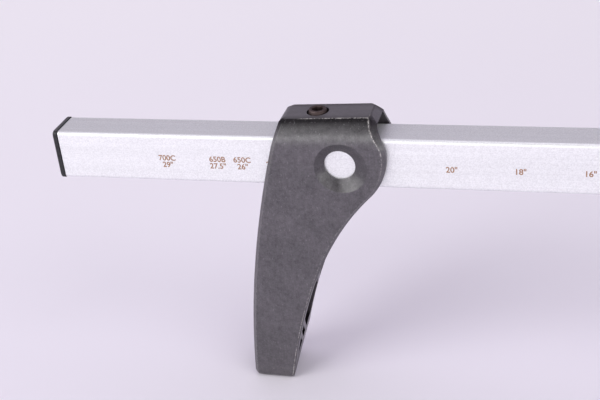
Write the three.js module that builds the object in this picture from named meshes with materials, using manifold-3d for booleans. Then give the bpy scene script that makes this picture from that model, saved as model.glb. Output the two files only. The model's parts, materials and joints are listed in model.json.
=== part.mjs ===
// Wheel dishing gauge: an aluminium bar, two sliding legs that stand on the rim,
// and a probe in the middle that is lowered onto the end of the hub.
// Millimetres. +X runs along the bar, -Y is the side that is read, +Z is up.
// Geometry is written from the middle of the bar; the outer group stands it on the floor.
import * as THREE from 'three';
import { mergeVertices } from 'three/addons/utils/BufferGeometryUtils.js';
import Module from 'manifold-3d';

const wasm = await Module();
wasm.setup();

// Fits shared by all pieces
const slideClearance = 0.3;
const seatGap = 0.25;
const cutOverrun = 3;

// Bar: a rectangular tube
const barLength = 650;
const barHeight = 20;
const barDepth = 15;
const barWall = 1.5;
const barCorner = 1.5;

// End caps: a flange with a hollow plug
const capFlange = 2;
const capOverhang = 0.3;
const capEdge = 0.6;
const plugLength = 12;
const plugWall = 1.2;
const plugRibHeight = 0.2;
const plugRibWidth = 1;
const plugRibCount = 2;

// Leg: place, wall and section
const legReach = 100.6;
const legRest = 210.1;
const legWall = 3.2;
const crownHeight = 8.6;
const archRise = 11.6;
const archDrop = 4.5;
const crownWall = 3;
const legChamfer = 1.45;
const crownChamfer = 2.9;
const crownBackChamfer = 5.2;
const crownTilt = 0.035;

// Leg: outer edge, a bowed line from the crown to the tip
const crownOut = 22.9;
const tipOut = 44.9;
const outerBow = 4.2;
const crownCorner = 1.8;
const tipOuterCorner = 3;
const tipInnerCorner = 1.5;

// Leg: inner edge, upright at the collar, round beside the window, then hollow to the tip
const collarOut = 13.9;
const collarHeight = 16.3;
const bellyOut = 17.2;
const bellyHeight = 3.8;
const bellyRadius = 24;
const bellyDrop = 16.9;
const tipIn = 27.9;
const tipSlopeShare = 0.18;
const tipBevelRise = 17;
const tipBevelAcross = 8.6;

// Leg: window with its dished rim, on the front and on the back
const windowDrop = 0.6;
const windowMouthRadius = 10.2;
const windowHoleRadius = 5.95;
const windowHoleOut = 0.9;
const windowConeDepth = 2.6;

// Leg: ribbed core below the bar
const coreWall = 3.5;
const coreFloor = 3.2;
const coreTipFloor = 3;
const ribThickness = 1.8;
const ribTilt = THREE.MathUtils.degToRad(47);
const ribHeightShares = [0.33, 0.46, 0.73, 0.797];

// Leg: set screw with its nut and the shoe that it presses on the bar
const screwOut = 9.6;
const screwRadius = 4;
const screwLength = 6.6;
const screwChamfer = 0.7;
const screwProud = 0.3;
const screwSocketFlats = 4;
const screwSocketDepth = 3.5;
const screwHoleRadius = 4.4;
const screwBossRadius = 8;
const nutFlats = 11;
const nutHeight = 3.2;
const nutCover = 2.6;
const nutChamfer = 0.4;
const shoeRadius = 4.8;
const shoeEdge = 0.4;

// Centre housing
const housingHalfTop = 19;
const housingHalfBelly = 22;
const housingHalfFoot = 11;
const housingFootDrop = 8;
const housingFootHalfDepth = 9;
const housingFootChamfer = 2.5;
const frontBossRadius = 9;
const frontBossReach = 6;
const frontBossChamfer = 1;
const housingScrewSpread = 14;
const housingScrewRadius = 2;
const housingScrewHeadRadius = 3.6;
const housingScrewHeadHeight = 2.2;
const housingScrewRound = 1.1;
const housingScrewLength = 8;
const housingScrewSocketFlats = 2.5;
const housingScrewSocketDepth = 1.4;

// Probe: rod, bushes, foot and grip
const rodRadius = 4;
const rodLength = 101;
const rodChamfer = 0.6;
const rodRunning = 0.3;
const rodPassage = 1;
const bushWall = 2;
const bushFlange = 1.5;
const bushFlangeThickness = 1.2;
const upperBushLength = 7;
const lowerBushLength = 7;
const footRestHeight = 40.6;
const footHeight = 20;
const footRadius = 10;
const footRim = 8;
const footNeckRadius = 7.5;
const footBoreRadius = 5.6;
const footBoreDepth = 12;
const footEdge = 0.6;
const footScrewRadius = 2;
const footScrewDrop = 4;
const footScrewSocketFlats = 2;
const footScrewSocketDepth = 1.6;
const gripHeight = 15;
const gripRadius = 8.5;
const gripWaist = 6.6;
const gripEdge = 0.8;
const gripSocketDepth = 9;
const gripScrewRadius = 2;
const gripScrewLength = 12;
const gripScrewHeadRadius = 3.6;
const gripScrewHeadHeight = 2.2;
const gripScrewRound = 1.1;
const gripScrewSocketFlats = 2.5;
const gripScrewSocketDepth = 1.4;

// Clamp: knob, stud, threaded insert and the pad on the rod
const knobRadius = 11.5;
const knobLobe = 1.1;
const knobLobes = 7;
const knobThickness = 9;
const knobEdge = 1.5;
const knobHubRadius = 7.5;
const knobHubLength = 4;
const knobStandOff = 0.8;
const knobDishRadius = 6;
const knobDishDepth = 1;
const studRadius = 3;
const studChamfer = 0.5;
const studInKnob = 9;
const insertWall = 1.5;
const insertGrooveDepth = 0.35;
const insertGrooveWidth = 1.2;
const padRadius = 2.8;
const padThickness = 2;
const padEdge = 0.3;

// Smoothness
const roundSteps = 36;
const smallRoundSteps = 20;
const cornerSteps = 3;
const edgeSteps = 2;
const curveSteps = 15;
const crownSteps = 5;
const waistSteps = 8;
const knobSteps = 70;

// Sizes that follow from those above
const legDepth = barDepth + 2 * (slideClearance + legWall);
const legTop = barHeight / 2 + crownHeight;
const archStart = legTop - archRise;
const archRadius = (archDrop ** 2 + archRise ** 2) / (2 * archDrop);
const tunnelHeight = barHeight + 2 * slideClearance;
const tunnelDepth = barDepth + 2 * slideClearance;
const nutCeiling = legTop - nutCover;
const nutTop = nutCeiling - seatGap;
const screwTop = legTop + screwProud;
const screwTip = screwTop - screwLength;
const shoeBase = barHeight / 2 + seatGap;
const shoeTop = screwTip - seatGap;
const bushRadius = rodRadius + rodRunning + bushWall;
const housingBottom = -(barHeight / 2 + housingFootDrop);
const footBase = footRestHeight - legReach;
const footTop = footBase + footHeight;
const rodBase = footBase + footBoreDepth + seatGap;
const rodTop = rodBase + rodLength;
const gripBase = rodTop + seatGap - gripSocketDepth;
const gripTop = gripBase + gripHeight;
const frontBossFace = -(legDepth / 2 + frontBossReach);
const insertRadius = studRadius + seatGap + insertWall;
const padBack = -(rodRadius + seatGap);
const padFront = padBack - padThickness;
const studTip = padFront - seatGap;
const hubFace = frontBossFace - knobStandOff;
const knobBack = hubFace - knobHubLength;
const knobFront = knobBack - knobThickness;
const studEnd = hubFace - studInKnob;

// Box of the whole gauge, which places its origin on the floor under its middle
const frontReach = -knobFront;
const rearReach = legDepth / 2 + housingScrewHeadHeight + seatGap;
const barMidPlane = (frontReach - rearReach) / 2;

// Finishes
const finishes = {
  blastedAluminium: { color: 0xd9d9de, roughness: 0.45, metalness: 0.85 },
  blackMoulding: { color: 0x2b2a2d, roughness: 0.62, metalness: 0 },
  blackCap: { color: 0x1a1a1c, roughness: 0.5, metalness: 0 },
  blackOxide: { color: 0x2a211c, roughness: 0.4, metalness: 0.8 },
  zincPlate: { color: 0xb9bcc2, roughness: 0.35, metalness: 0.9 },
  naturalNylon: { color: 0xe8e4d8, roughness: 0.55, metalness: 0 },
  brass: { color: 0xc9a45a, roughness: 0.35, metalness: 0.9 },
  groundSteel: { color: 0xc4c6cb, roughness: 0.22, metalness: 1 },
};

// Turns a geometry into a solid that can be joined and cut.
function toSolid(geometry) {
  const bare = geometry.index ? geometry.toNonIndexed() : geometry.clone();
  bare.deleteAttribute('normal');
  bare.deleteAttribute('uv');
  const merged = mergeVertices(bare);
  return new wasm.Manifold(new wasm.Mesh({
    numProp: 3,
    vertProperties: new Float32Array(merged.attributes.position.array),
    triVerts: new Uint32Array(merged.index.array),
  }));
}

// Turns a solid back into a geometry.
function toGeometry(solid) {
  const mesh = solid.getMesh();
  const geometry = new THREE.BufferGeometry();
  geometry.setAttribute('position', new THREE.BufferAttribute(new Float32Array(mesh.vertProperties), 3));
  geometry.setIndex(new THREE.BufferAttribute(new Uint32Array(mesh.triVerts), 1));
  geometry.computeVertexNormals();
  return geometry;
}

// Cuts every tool out of a body, and joins bodies.
function cut(body, ...tools) {
  return tools.reduce((solid, tool) => solid.subtract(tool), body);
}
function join(...bodies) {
  return bodies.reduce((solid, body) => solid.add(body));
}

// Revolves closed (radius, height) points about Z.
function revolved(points, steps = roundSteps) {
  const profile = points.map(([radius, height]) => new THREE.Vector2(radius, height));
  return new THREE.LatheGeometry(profile, steps).rotateX(Math.PI / 2);
}

// Cylinder along Z between two heights.
function rod(radius, bottom, top, steps = roundSteps) {
  return new THREE.CylinderGeometry(radius, radius, top - bottom, steps)
    .rotateX(Math.PI / 2)
    .translate(0, 0, (bottom + top) / 2);
}

// Six-sided prism along Z, given across its flats, two of which face the front and the back.
function hexagon(flats, bottom, top) {
  return rod(flats / Math.sqrt(3), bottom, top, 6).rotateZ(Math.PI / 6);
}

// Outline of a rectangle with round corners.
function roundedRectangle(width, height, corner, Outline = THREE.Shape) {
  const outline = new Outline();
  const right = width / 2;
  const top = height / 2;
  outline.moveTo(right - corner, -top);
  outline.absarc(right - corner, -top + corner, corner, -Math.PI / 2, 0);
  outline.absarc(right - corner, top - corner, corner, 0, Math.PI / 2);
  outline.absarc(-right + corner, top - corner, corner, Math.PI / 2, Math.PI);
  outline.absarc(-right + corner, -top + corner, corner, Math.PI, 1.5 * Math.PI);
  return outline;
}

// Extrudes an outline drawn in (Y, Z) along X.
function alongX(outline, from, to, options = {}) {
  return new THREE.ExtrudeGeometry(outline, {
    depth: to - from,
    bevelEnabled: false,
    curveSegments: cornerSteps,
    ...options,
  }).rotateY(Math.PI / 2).rotateX(Math.PI / 2).translate(from, 0, 0);
}

// Turns a geometry made along +Z so that it runs along -Y or +Y.
function toFront(geometry) {
  return geometry.rotateX(Math.PI / 2);
}
function toBack(geometry) {
  return geometry.rotateX(-Math.PI / 2);
}

// Skin through rings of equal point count, closed by a fan at each end.
function loft(rings) {
  const count = rings[0].length;
  const positions = rings.flat().flatMap((point) => [point.x, point.y, point.z]);
  const faces = [];
  for (let ring = 0; ring + 1 < rings.length; ring += 1) {
    for (let side = 0; side < count; side += 1) {
      const next = (side + 1) % count;
      const low = ring * count;
      const high = low + count;
      faces.push(low + side, low + next, high + next);
      faces.push(low + side, high + next, high + side);
    }
  }
  const last = (rings.length - 1) * count;
  for (let side = 1; side + 1 < count; side += 1) {
    faces.push(0, side + 1, side);
    faces.push(last, last + side, last + side + 1);
  }
  const geometry = new THREE.BufferGeometry();
  geometry.setAttribute('position', new THREE.Float32BufferAttribute(positions, 3));
  geometry.setIndex(faces);
  return geometry;
}

// Heights of a loft: every break, with even steps between breaks.
function heightsBetween(breaks) {
  const sorted = [...breaks].sort((low, high) => low.height - high.height);
  const heights = [sorted[0].height];
  for (let index = 1; index < sorted.length; index += 1) {
    const { height, steps } = sorted[index];
    const start = sorted[index - 1].height;
    for (let step = 1; step <= steps; step += 1) {
      heights.push(start + (height - start) * step / steps);
    }
  }
  return heights;
}

// Ring of a loft: a rectangle whose four corners are cut off.
function chamferedRing(height, left, right, halfDepth, leftCut, rightCut, backCut = rightCut) {
  const deep = halfDepth - legChamfer;
  return [
    [left + leftCut, -halfDepth], [right - rightCut, -halfDepth], [right, -deep], [right, deep],
    [right - backCut, halfDepth], [left + leftCut, halfDepth], [left, deep], [left, -deep],
  ].map(([x, y]) => new THREE.Vector3(x, y, height));
}

// Ring of a loft: a circle.
function circleRing(height, radius, across) {
  return Array.from({ length: roundSteps }, (_, step) => {
    const turn = 2 * Math.PI * step / roundSteps;
    return new THREE.Vector3(across + radius * Math.cos(turn), radius * Math.sin(turn), height);
  });
}

// How far a round corner draws an edge in, a given distance from its end.
function cornerInset(radius, distance) {
  return distance >= radius ? 0 : radius - Math.sqrt(radius ** 2 - (radius - distance) ** 2);
}

// Half depth of the arched crown that the legs and the housing share.
function crownHalfDepth(height) {
  const rise = Math.max(0, height - archStart);
  return legDepth / 2 - archRadius + Math.sqrt(archRadius ** 2 - rise ** 2);
}

// Width of the chamfer, which grows over the crown.
function crownCut(height, widest = crownChamfer) {
  const share = Math.max(0, height - archStart) / archRise;
  return legChamfer + (widest - legChamfer) * share;
}

// Space under the crown's wall, along X, in front of and behind the screw boss.
function crownHollow(from, to) {
  const ceiling = legTop - crownWall;
  const floor = barHeight / 2;
  const heights = heightsBetween([{ height: floor }, { height: ceiling, steps: cornerSteps }]);
  const back = heights.map((height) => new THREE.Vector2(crownHalfDepth(height) - crownWall, height));
  const front = back.map((point) => new THREE.Vector2(-point.x, point.y)).reverse();
  return toSolid(alongX(new THREE.Shape([...back, ...front]), from, to));
}

// Space in a leg or the housing that the bar slides through.
function barTunnel(from, to) {
  return toSolid(alongX(roundedRectangle(tunnelDepth, tunnelHeight, barCorner), from, to));
}

// Bar: drilled for the probe, its clamp and the screws of the housing.
function makeBar() {
  const outline = roundedRectangle(barDepth, barHeight, barCorner);
  const bore = roundedRectangle(barDepth - 2 * barWall, barHeight - 2 * barWall, barCorner, THREE.Path);
  outline.holes.push(bore);
  const tube = toSolid(alongX(outline, -barLength / 2, barLength / 2));
  const rodHole = toSolid(rod(rodRadius + rodPassage, -barHeight, barHeight));
  const clampHole = toSolid(toFront(rod(studRadius + rodPassage, 0, barDepth)));
  const screwHoles = [-housingScrewSpread, housingScrewSpread].map((across) => toSolid(
    toBack(rod(housingScrewRadius + seatGap, 0, barDepth, smallRoundSteps)).translate(across, 0, 0),
  ));
  return cut(tube, rodHole, clampHole, ...screwHoles);
}

// End cap: a soft-edged flange and a hollow plug with gripping ribs. It faces +X.
function makeEndCap() {
  const flangeDepth = barDepth + 2 * capOverhang;
  const flangeHeight = barHeight + 2 * capOverhang;
  const face = roundedRectangle(flangeDepth, flangeHeight, barCorner);
  const flange = alongX(face, capEdge, capFlange - capEdge, {
    bevelEnabled: true,
    bevelThickness: capEdge,
    bevelSize: capEdge,
    bevelOffset: -capEdge,
    bevelSegments: edgeSteps,
  });
  const grip = barWall + seatGap + plugRibHeight;
  const plugDepth = barDepth - 2 * grip;
  const plugHeight = barHeight - 2 * grip;
  const plug = alongX(roundedRectangle(plugDepth, plugHeight, barCorner), -plugLength, capEdge);
  const hollow = alongX(
    roundedRectangle(plugDepth - 2 * plugWall, plugHeight - 2 * plugWall, barCorner - plugRibHeight),
    -plugLength - cutOverrun, 0,
  );
  const pitch = plugLength / (plugRibCount + 1);
  const ribs = Array.from({ length: plugRibCount }, (_, index) => toSolid(alongX(
    roundedRectangle(plugDepth + 2 * plugRibHeight, plugHeight + 2 * plugRibHeight, barCorner),
    -(index + 1) * pitch - plugRibWidth, -(index + 1) * pitch,
  )));
  return cut(join(toSolid(flange), toSolid(plug), ...ribs), toSolid(hollow));
}

// Outer edge of a leg: distance from the window to the left, at a height.
function legOuterEdge(height) {
  const share = (legTop - height) / (legTop + legReach);
  const straight = crownOut + (tipOut - crownOut) * share;
  return -(straight + 4 * outerBow * share * (1 - share));
}

// Inner edge of a leg: distance from the window to the right, at a height.
function legInnerEdge(height) {
  const above = height - bellyHeight;
  if (above >= 0) {
    const drawn = THREE.MathUtils.smoothstep(height, bellyHeight, collarHeight);
    return THREE.MathUtils.lerp(bellyOut, collarOut, drawn);
  }
  const run = Math.sqrt(bellyRadius ** 2 - bellyDrop ** 2);
  if (-above <= bellyDrop) {
    return bellyOut - bellyRadius + Math.sqrt(bellyRadius ** 2 - above ** 2);
  }
  const start = new THREE.Vector2(bellyOut - bellyRadius + run, bellyHeight - bellyDrop);
  const end = new THREE.Vector2(-tipIn, -legReach);
  const slope = bellyDrop / run;
  const bendHeight = (end.x - start.x + slope * start.y - tipSlopeShare * end.y) / (slope - tipSlopeShare);
  const bend = new THREE.Vector2(end.x + tipSlopeShare * (bendHeight - end.y), bendHeight);
  const square = start.y - 2 * bend.y + end.y;
  const linear = start.y - bend.y;
  const along = (linear - Math.sqrt(linear ** 2 - square * (start.y - height))) / square;
  return new THREE.QuadraticBezierCurve(start, bend, end).getPoint(along).x;
}

// Outer form of a leg, as a loft from the tip to the crown.
function legForm() {
  const heights = heightsBetween([
    { height: -legReach },
    { height: -legReach + legChamfer, steps: edgeSteps },
    { height: -legReach + Math.max(tipOuterCorner, tipInnerCorner, 2 * legChamfer), steps: edgeSteps },
    { height: bellyHeight - bellyDrop, steps: curveSteps },
    { height: bellyHeight, steps: cornerSteps },
    { height: archStart, steps: 1 },
    { height: legTop - crownCorner, steps: crownSteps },
    { height: legTop, steps: cornerSteps },
  ]);
  return loft(heights.map((height) => {
    const fromTip = height + legReach;
    const fromTop = legTop - height;
    const outerInset = cornerInset(tipOuterCorner, fromTip) + cornerInset(crownCorner, fromTop);
    const left = legOuterEdge(height) + outerInset;
    const right = legInnerEdge(height) - cornerInset(tipInnerCorner, fromTip);
    const tipCut = Math.max(0, legChamfer - fromTip);
    const halfDepth = crownHalfDepth(height) - tipCut;
    const cuts = [legChamfer, crownCut(height), crownCut(height, crownBackChamfer)];
    return chamferedRing(height, left, right, halfDepth, ...cuts).map((point) => tilted(point));
  }));
}

// Lowers the crown towards its outer side.
function tilted(point) {
  const share = Math.max(0, point.z - archStart) / archRise;
  return point.setZ(point.z - crownTilt * (collarOut - point.x) * share);
}

// Bevel that takes the back corner off the inner side of the tip: all that lies beyond a
// plane, or beyond one that is set further in.
function tipBevel(inset = 0) {
  const deep = legDepth / 2 - legChamfer;
  const front = new THREE.Vector3(-tipIn - tipInnerCorner, -deep, -legReach);
  const back = new THREE.Vector3(front.x - tipBevelAcross, deep, -legReach);
  const top = new THREE.Vector3(legInnerEdge(-legReach + tipBevelRise), deep, -legReach + tipBevelRise);
  const plane = new THREE.Plane().setFromCoplanarPoints(front, back, top);
  const upright = new THREE.Vector3(0, 0, 1);
  return new THREE.BoxGeometry(legReach, legReach, legReach)
    .translate(0, 0, legReach / 2 - inset)
    .applyQuaternion(new THREE.Quaternion().setFromUnitVectors(upright, plane.normal))
    .translate(front.x, front.y, front.z);
}

// Window: a hole to the bar with a dished rim, cut from one face.
function windowCutter() {
  const face = legDepth / 2;
  const hole = [barDepth / 2 - barWall, face - windowConeDepth];
  const mouth = [face, face + cutOverrun];
  return loft([
    ...hole.map((height) => circleRing(height, windowHoleRadius, -windowHoleOut)),
    ...mouth.map((height) => circleRing(height, windowMouthRadius, 0)),
  ]);
}

// Core of a leg: the space between its front and back plates, less the slanting ribs.
function legCore() {
  const ceiling = -(tunnelHeight / 2 + coreFloor);
  const floor = -legReach + coreTipFloor;
  const open = bellyOut + cutOverrun;
  const outline = new THREE.Shape();
  outline.moveTo(open, -ceiling);
  heightsBetween([{ height: floor }, { height: ceiling, steps: curveSteps }]).reverse()
    .forEach((height) => outline.lineTo(legOuterEdge(height) + coreWall, -height));
  outline.lineTo(open, -floor);
  const space = new THREE.ExtrudeGeometry(outline, { depth: barDepth, bevelEnabled: false })
    .rotateX(-Math.PI / 2)
    .translate(0, -barDepth / 2, 0);
  const ribs = ribHeightShares.map((share) => {
    const slab = new THREE.BoxGeometry(2 * tipOut + 2 * bellyOut, legReach, ribThickness)
      .rotateX(-ribTilt)
      .translate(0, 0, -legReach * share - Math.tan(ribTilt) * barDepth / 2);
    return toSolid(slab);
  });
  return cut(toSolid(space), toSolid(tipBevel(coreTipFloor)), ...ribs);
}

// Leg: one moulding, which serves both sides when it is turned round.
function makeLeg() {
  const across = tipOut + cutOverrun;
  const hollow = crownHollow(-across, across);
  const boss = toSolid(rod(screwBossRadius, 0, legTop).translate(-screwOut, 0, 0));
  const nutPocket = hexagon(nutFlats + 2 * seatGap, 0, nutCeiling).translate(-screwOut, 0, 0);
  const screwHole = rod(screwHoleRadius, 0, legTop + cutOverrun).translate(-screwOut, 0, 0);
  return cut(
    toSolid(legForm()),
    toSolid(tipBevel()),
    barTunnel(-across, across),
    hollow.subtract(boss),
    toSolid(nutPocket),
    toSolid(screwHole),
    toSolid(toFront(windowCutter()).translate(0, 0, -windowDrop)),
    toSolid(toBack(windowCutter()).translate(0, 0, -windowDrop)),
    legCore(),
  );
}

// Thin hexagon nut held under the crown.
function makeLegNut() {
  const bottom = nutTop - nutHeight;
  const hex = toSolid(hexagon(nutFlats, bottom, nutTop));
  const corner = nutFlats / Math.sqrt(3);
  const turned = toSolid(revolved([
    [0, bottom], [nutFlats / 2, bottom], [corner, bottom + nutChamfer],
    [corner, nutTop - nutChamfer], [nutFlats / 2, nutTop], [0, nutTop],
  ], smallRoundSteps));
  const thread = rod(screwRadius + seatGap, bottom - cutOverrun, nutTop + cutOverrun, smallRoundSteps);
  return hex.intersect(turned).subtract(toSolid(thread));
}

// Headless screw with chamfered ends and a hexagon socket in its top.
function headlessScrew(radius, bottom, top, chamfer, socketFlats, socketDepth) {
  const body = toSolid(revolved([
    [0, bottom], [radius - chamfer, bottom], [radius, bottom + chamfer],
    [radius, top - chamfer], [radius - chamfer, top], [0, top],
  ], smallRoundSteps));
  return body.subtract(toSolid(hexagon(socketFlats, top - socketDepth, top + cutOverrun)));
}

// Round-headed socket screw whose head stands on height 0 and whose shank hangs below.
function roundHeadScrew(radius, length, headRadius, headHeight, round, socketFlats, socketDepth) {
  const quarter = Array.from({ length: edgeSteps + 1 }, (_, step) => {
    const turn = (Math.PI / 2) * (step / edgeSteps);
    return [headRadius - round + round * Math.cos(turn), headHeight - round + round * Math.sin(turn)];
  });
  const body = revolved([
    [0, -length], [radius, -length], [radius, 0], [headRadius, 0], ...quarter, [0, headHeight],
  ], smallRoundSteps);
  const socket = hexagon(socketFlats, headHeight - socketDepth, headHeight + cutOverrun);
  return toSolid(body).subtract(toSolid(socket));
}

// Shoe: the plastic disc between the set screw and the bar.
function makeShoe() {
  return toSolid(revolved([
    [0, shoeBase], [shoeRadius - shoeEdge, shoeBase], [shoeRadius, shoeBase + shoeEdge],
    [shoeRadius, shoeTop - shoeEdge], [shoeRadius - shoeEdge, shoeTop], [0, shoeTop],
  ], smallRoundSteps));
}

// Centre housing: the same arched crown, drawn in below to a foot round the probe.
function makeHousing() {
  const waist = -(tunnelHeight / 2 + coreFloor);
  const heights = heightsBetween([
    { height: housingBottom },
    { height: housingBottom + housingFootChamfer, steps: 1 },
    { height: waist, steps: 1 },
    { height: 0, steps: cornerSteps },
    { height: archStart, steps: 1 },
    { height: legTop - crownCorner, steps: crownSteps },
    { height: legTop, steps: cornerSteps },
  ]);
  const form = loft(heights.map((height) => {
    const raised = Math.max(0, height) / legTop;
    const drawn = Math.min(1, Math.max(0, height / waist));
    const lowered = Math.max(0, waist - height) / (waist - housingBottom);
    const bottomCut = Math.max(0, housingFootChamfer - (height - housingBottom));
    const half = housingHalfBelly - (housingHalfBelly - housingHalfTop) * raised ** 2
      - (housingHalfBelly - housingHalfFoot) * drawn ** 2
      - cornerInset(crownCorner, legTop - height) - bottomCut;
    const halfDepth = crownHalfDepth(height) - bottomCut
      - (legDepth / 2 - housingFootHalfDepth) * lowered;
    return chamferedRing(height, -half, half, halfDepth, crownCut(height), crownCut(height));
  }));
  const bossFace = -frontBossFace;
  const frontBoss = toFront(revolved([
    [0, barDepth / 2 + slideClearance], [frontBossRadius, barDepth / 2 + slideClearance],
    [frontBossRadius, bossFace - frontBossChamfer],
    [frontBossRadius - frontBossChamfer, bossFace], [0, bossFace],
  ]));
  const across = housingHalfBelly + cutOverrun;
  const hollow = crownHollow(-across, across).subtract(toSolid(rod(bushRadius + coreWall, 0, legTop)));
  const bushSeat = rod(bushRadius + seatGap, housingBottom - cutOverrun, legTop + cutOverrun);
  const insertSeat = toFront(rod(insertRadius + seatGap, 0, bossFace + cutOverrun));
  const screwHoles = [-housingScrewSpread, housingScrewSpread].map((place) => toSolid(
    toBack(rod(housingScrewRadius + seatGap, 0, legDepth, smallRoundSteps)).translate(place, 0, 0),
  ));
  return cut(
    join(toSolid(form), toSolid(frontBoss)),
    barTunnel(-across, across),
    hollow,
    toSolid(bushSeat),
    toSolid(insertSeat),
    ...screwHoles,
  );
}

// Flanged bush; the flange is at the top.
function makeBush(length, seat) {
  const inner = rodRadius + rodRunning;
  const flangeTop = seat + seatGap + bushFlangeThickness;
  return toSolid(revolved([
    [inner, seat - length], [bushRadius, seat - length], [bushRadius, seat + seatGap],
    [bushRadius + bushFlange, seat + seatGap], [bushRadius + bushFlange, flangeTop],
    [inner, flangeTop], [inner, seat - length],
  ], smallRoundSteps));
}

// Probe rod, drilled at its top for the grip's screw.
function makeRod() {
  const body = toSolid(revolved([
    [0, rodBase], [rodRadius - rodChamfer, rodBase], [rodRadius, rodBase + rodChamfer],
    [rodRadius, rodTop - rodChamfer], [rodRadius - rodChamfer, rodTop], [0, rodTop],
  ], smallRoundSteps));
  return body.subtract(toSolid(rod(
    gripScrewRadius + seatGap, rodTop - gripScrewLength, rodTop + cutOverrun, smallRoundSteps,
  )));
}

// Foot: a socket for the rod above, and below it a bore that clears the end of the axle.
function makeFoot() {
  const socket = rodRadius + seatGap;
  const shelf = footBase + footBoreDepth;
  const body = toSolid(revolved([
    [footBoreRadius, footBase], [footRadius - footEdge, footBase], [footRadius, footBase + footEdge],
    [footRadius, footBase + footRim], [footNeckRadius, footBase + footBoreDepth],
    [footNeckRadius, footTop - footEdge], [footNeckRadius - footEdge, footTop], [socket, footTop],
    [socket, shelf], [rodRadius - rodChamfer, shelf], [rodRadius - rodChamfer, shelf - footEdge],
    [footBoreRadius, shelf - footEdge], [footBoreRadius, footBase],
  ]));
  const screwHole = toFront(rod(footScrewRadius + seatGap, 0, footRadius, smallRoundSteps));
  return body.subtract(toSolid(screwHole.translate(0, 0, footTop - footScrewDrop)));
}

// Set screw that holds the foot on the rod, pointing up.
function makeFootScrew() {
  return headlessScrew(
    footScrewRadius, rodRadius + seatGap, footNeckRadius,
    screwChamfer, footScrewSocketFlats, footScrewSocketDepth,
  );
}

// Grip: a waisted knob on the top of the rod.
function makeGrip() {
  const waist = Array.from({ length: waistSteps + 1 }, (_, step) => {
    const share = step / waistSteps;
    const height = gripBase + gripEdge + (gripHeight - 2 * gripEdge) * share;
    return [gripRadius - (gripRadius - gripWaist) * Math.sin(Math.PI * share) ** 2, height];
  });
  const socket = rodRadius + seatGap;
  const hole = gripScrewRadius + seatGap;
  const ceiling = gripBase + gripSocketDepth;
  return toSolid(revolved([
    [socket, gripBase], [gripRadius - gripEdge, gripBase], ...waist, [gripRadius - gripEdge, gripTop],
    [hole, gripTop], [hole, ceiling], [socket, ceiling], [socket, gripBase],
  ]));
}

// Knob: lobed rim, hub towards the housing and a shallow dish in its face. It faces +Z.
function makeKnob() {
  const rim = knobRadius - knobLobe;
  const outline = new THREE.Shape(Array.from({ length: knobSteps }, (_, step) => {
    const turn = 2 * Math.PI * step / knobSteps;
    const reach = rim + knobLobe * Math.cos(knobLobes * turn);
    return new THREE.Vector2(reach * Math.cos(turn), reach * Math.sin(turn));
  }));
  const lobes = new THREE.ExtrudeGeometry(outline, {
    depth: knobThickness - 2 * knobEdge,
    bevelEnabled: true,
    bevelThickness: knobEdge,
    bevelSize: knobEdge,
    bevelOffset: -knobEdge,
    bevelSegments: edgeSteps,
  }).translate(0, 0, -knobBack + knobEdge);
  const hub = rod(knobHubRadius, -hubFace, -knobBack + knobEdge);
  const dish = rod(knobDishRadius, -knobFront - knobDishDepth, -knobFront + cutOverrun);
  const studHole = rod(studRadius + seatGap, -hubFace - cutOverrun, -studEnd + seatGap);
  return cut(join(toSolid(lobes), toSolid(hub)), toSolid(dish), toSolid(studHole));
}

// Stud of the knob.
function makeStud() {
  return toSolid(toFront(revolved([
    [0, -studTip], [studRadius - studChamfer, -studTip], [studRadius, -studTip + studChamfer],
    [studRadius, -studEnd - studChamfer], [studRadius - studChamfer, -studEnd], [0, -studEnd],
  ], smallRoundSteps)));
}

// Threaded insert in the front boss, with two grooves that the moulding grips.
function makeInsert() {
  const bore = studRadius + seatGap;
  const back = barDepth / 2 + slideClearance;
  const front = -frontBossFace;
  const land = (front - back - 2 * insertGrooveWidth) / 3;
  const waist = insertRadius - insertGrooveDepth;
  const grooves = [0, 1].flatMap((index) => {
    const start = back + land + index * (land + insertGrooveWidth);
    const end = start + insertGrooveWidth;
    return [[insertRadius, start], [waist, start], [waist, end], [insertRadius, end]];
  });
  return toSolid(toFront(revolved([
    [bore, back], [insertRadius, back], ...grooves, [insertRadius, front], [bore, front], [bore, back],
  ], smallRoundSteps)));
}

// Pad that the stud presses on the rod.
function makePad() {
  return toSolid(toFront(revolved([
    [0, -padBack], [padRadius - padEdge, -padBack], [padRadius, -padBack + padEdge],
    [padRadius, -padFront - padEdge], [padRadius - padEdge, -padFront], [0, -padFront],
  ], smallRoundSteps)));
}

// One named mesh.
function mesh(name, solid, finish) {
  const piece = new THREE.Mesh(toGeometry(solid), new THREE.MeshStandardMaterial(finishes[finish]));
  piece.name = name;
  return piece;
}

// Leg with its nut, screw and shoe, seen as the left one; turned round it is the right one.
function legGroup(side, turn) {
  const group = new THREE.Group();
  const setScrew = headlessScrew(
    screwRadius, screwTip, screwTop, screwChamfer, screwSocketFlats, screwSocketDepth,
  );
  const adjuster = new THREE.Group();
  adjuster.add(
    mesh(`${side}_leg_nut`, makeLegNut(), 'zincPlate'),
    mesh(`${side}_set_screw`, setScrew, 'blackOxide'),
    mesh(`${side}_friction_shoe`, makeShoe(), 'naturalNylon'),
  );
  adjuster.position.x = -screwOut;
  const slider = new THREE.Group();
  slider.add(mesh(`${side}_leg`, makeLeg(), 'blackMoulding'), adjuster);
  slider.position.x = -legRest;
  group.add(slider);
  group.rotation.z = turn;
  return group;
}

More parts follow.
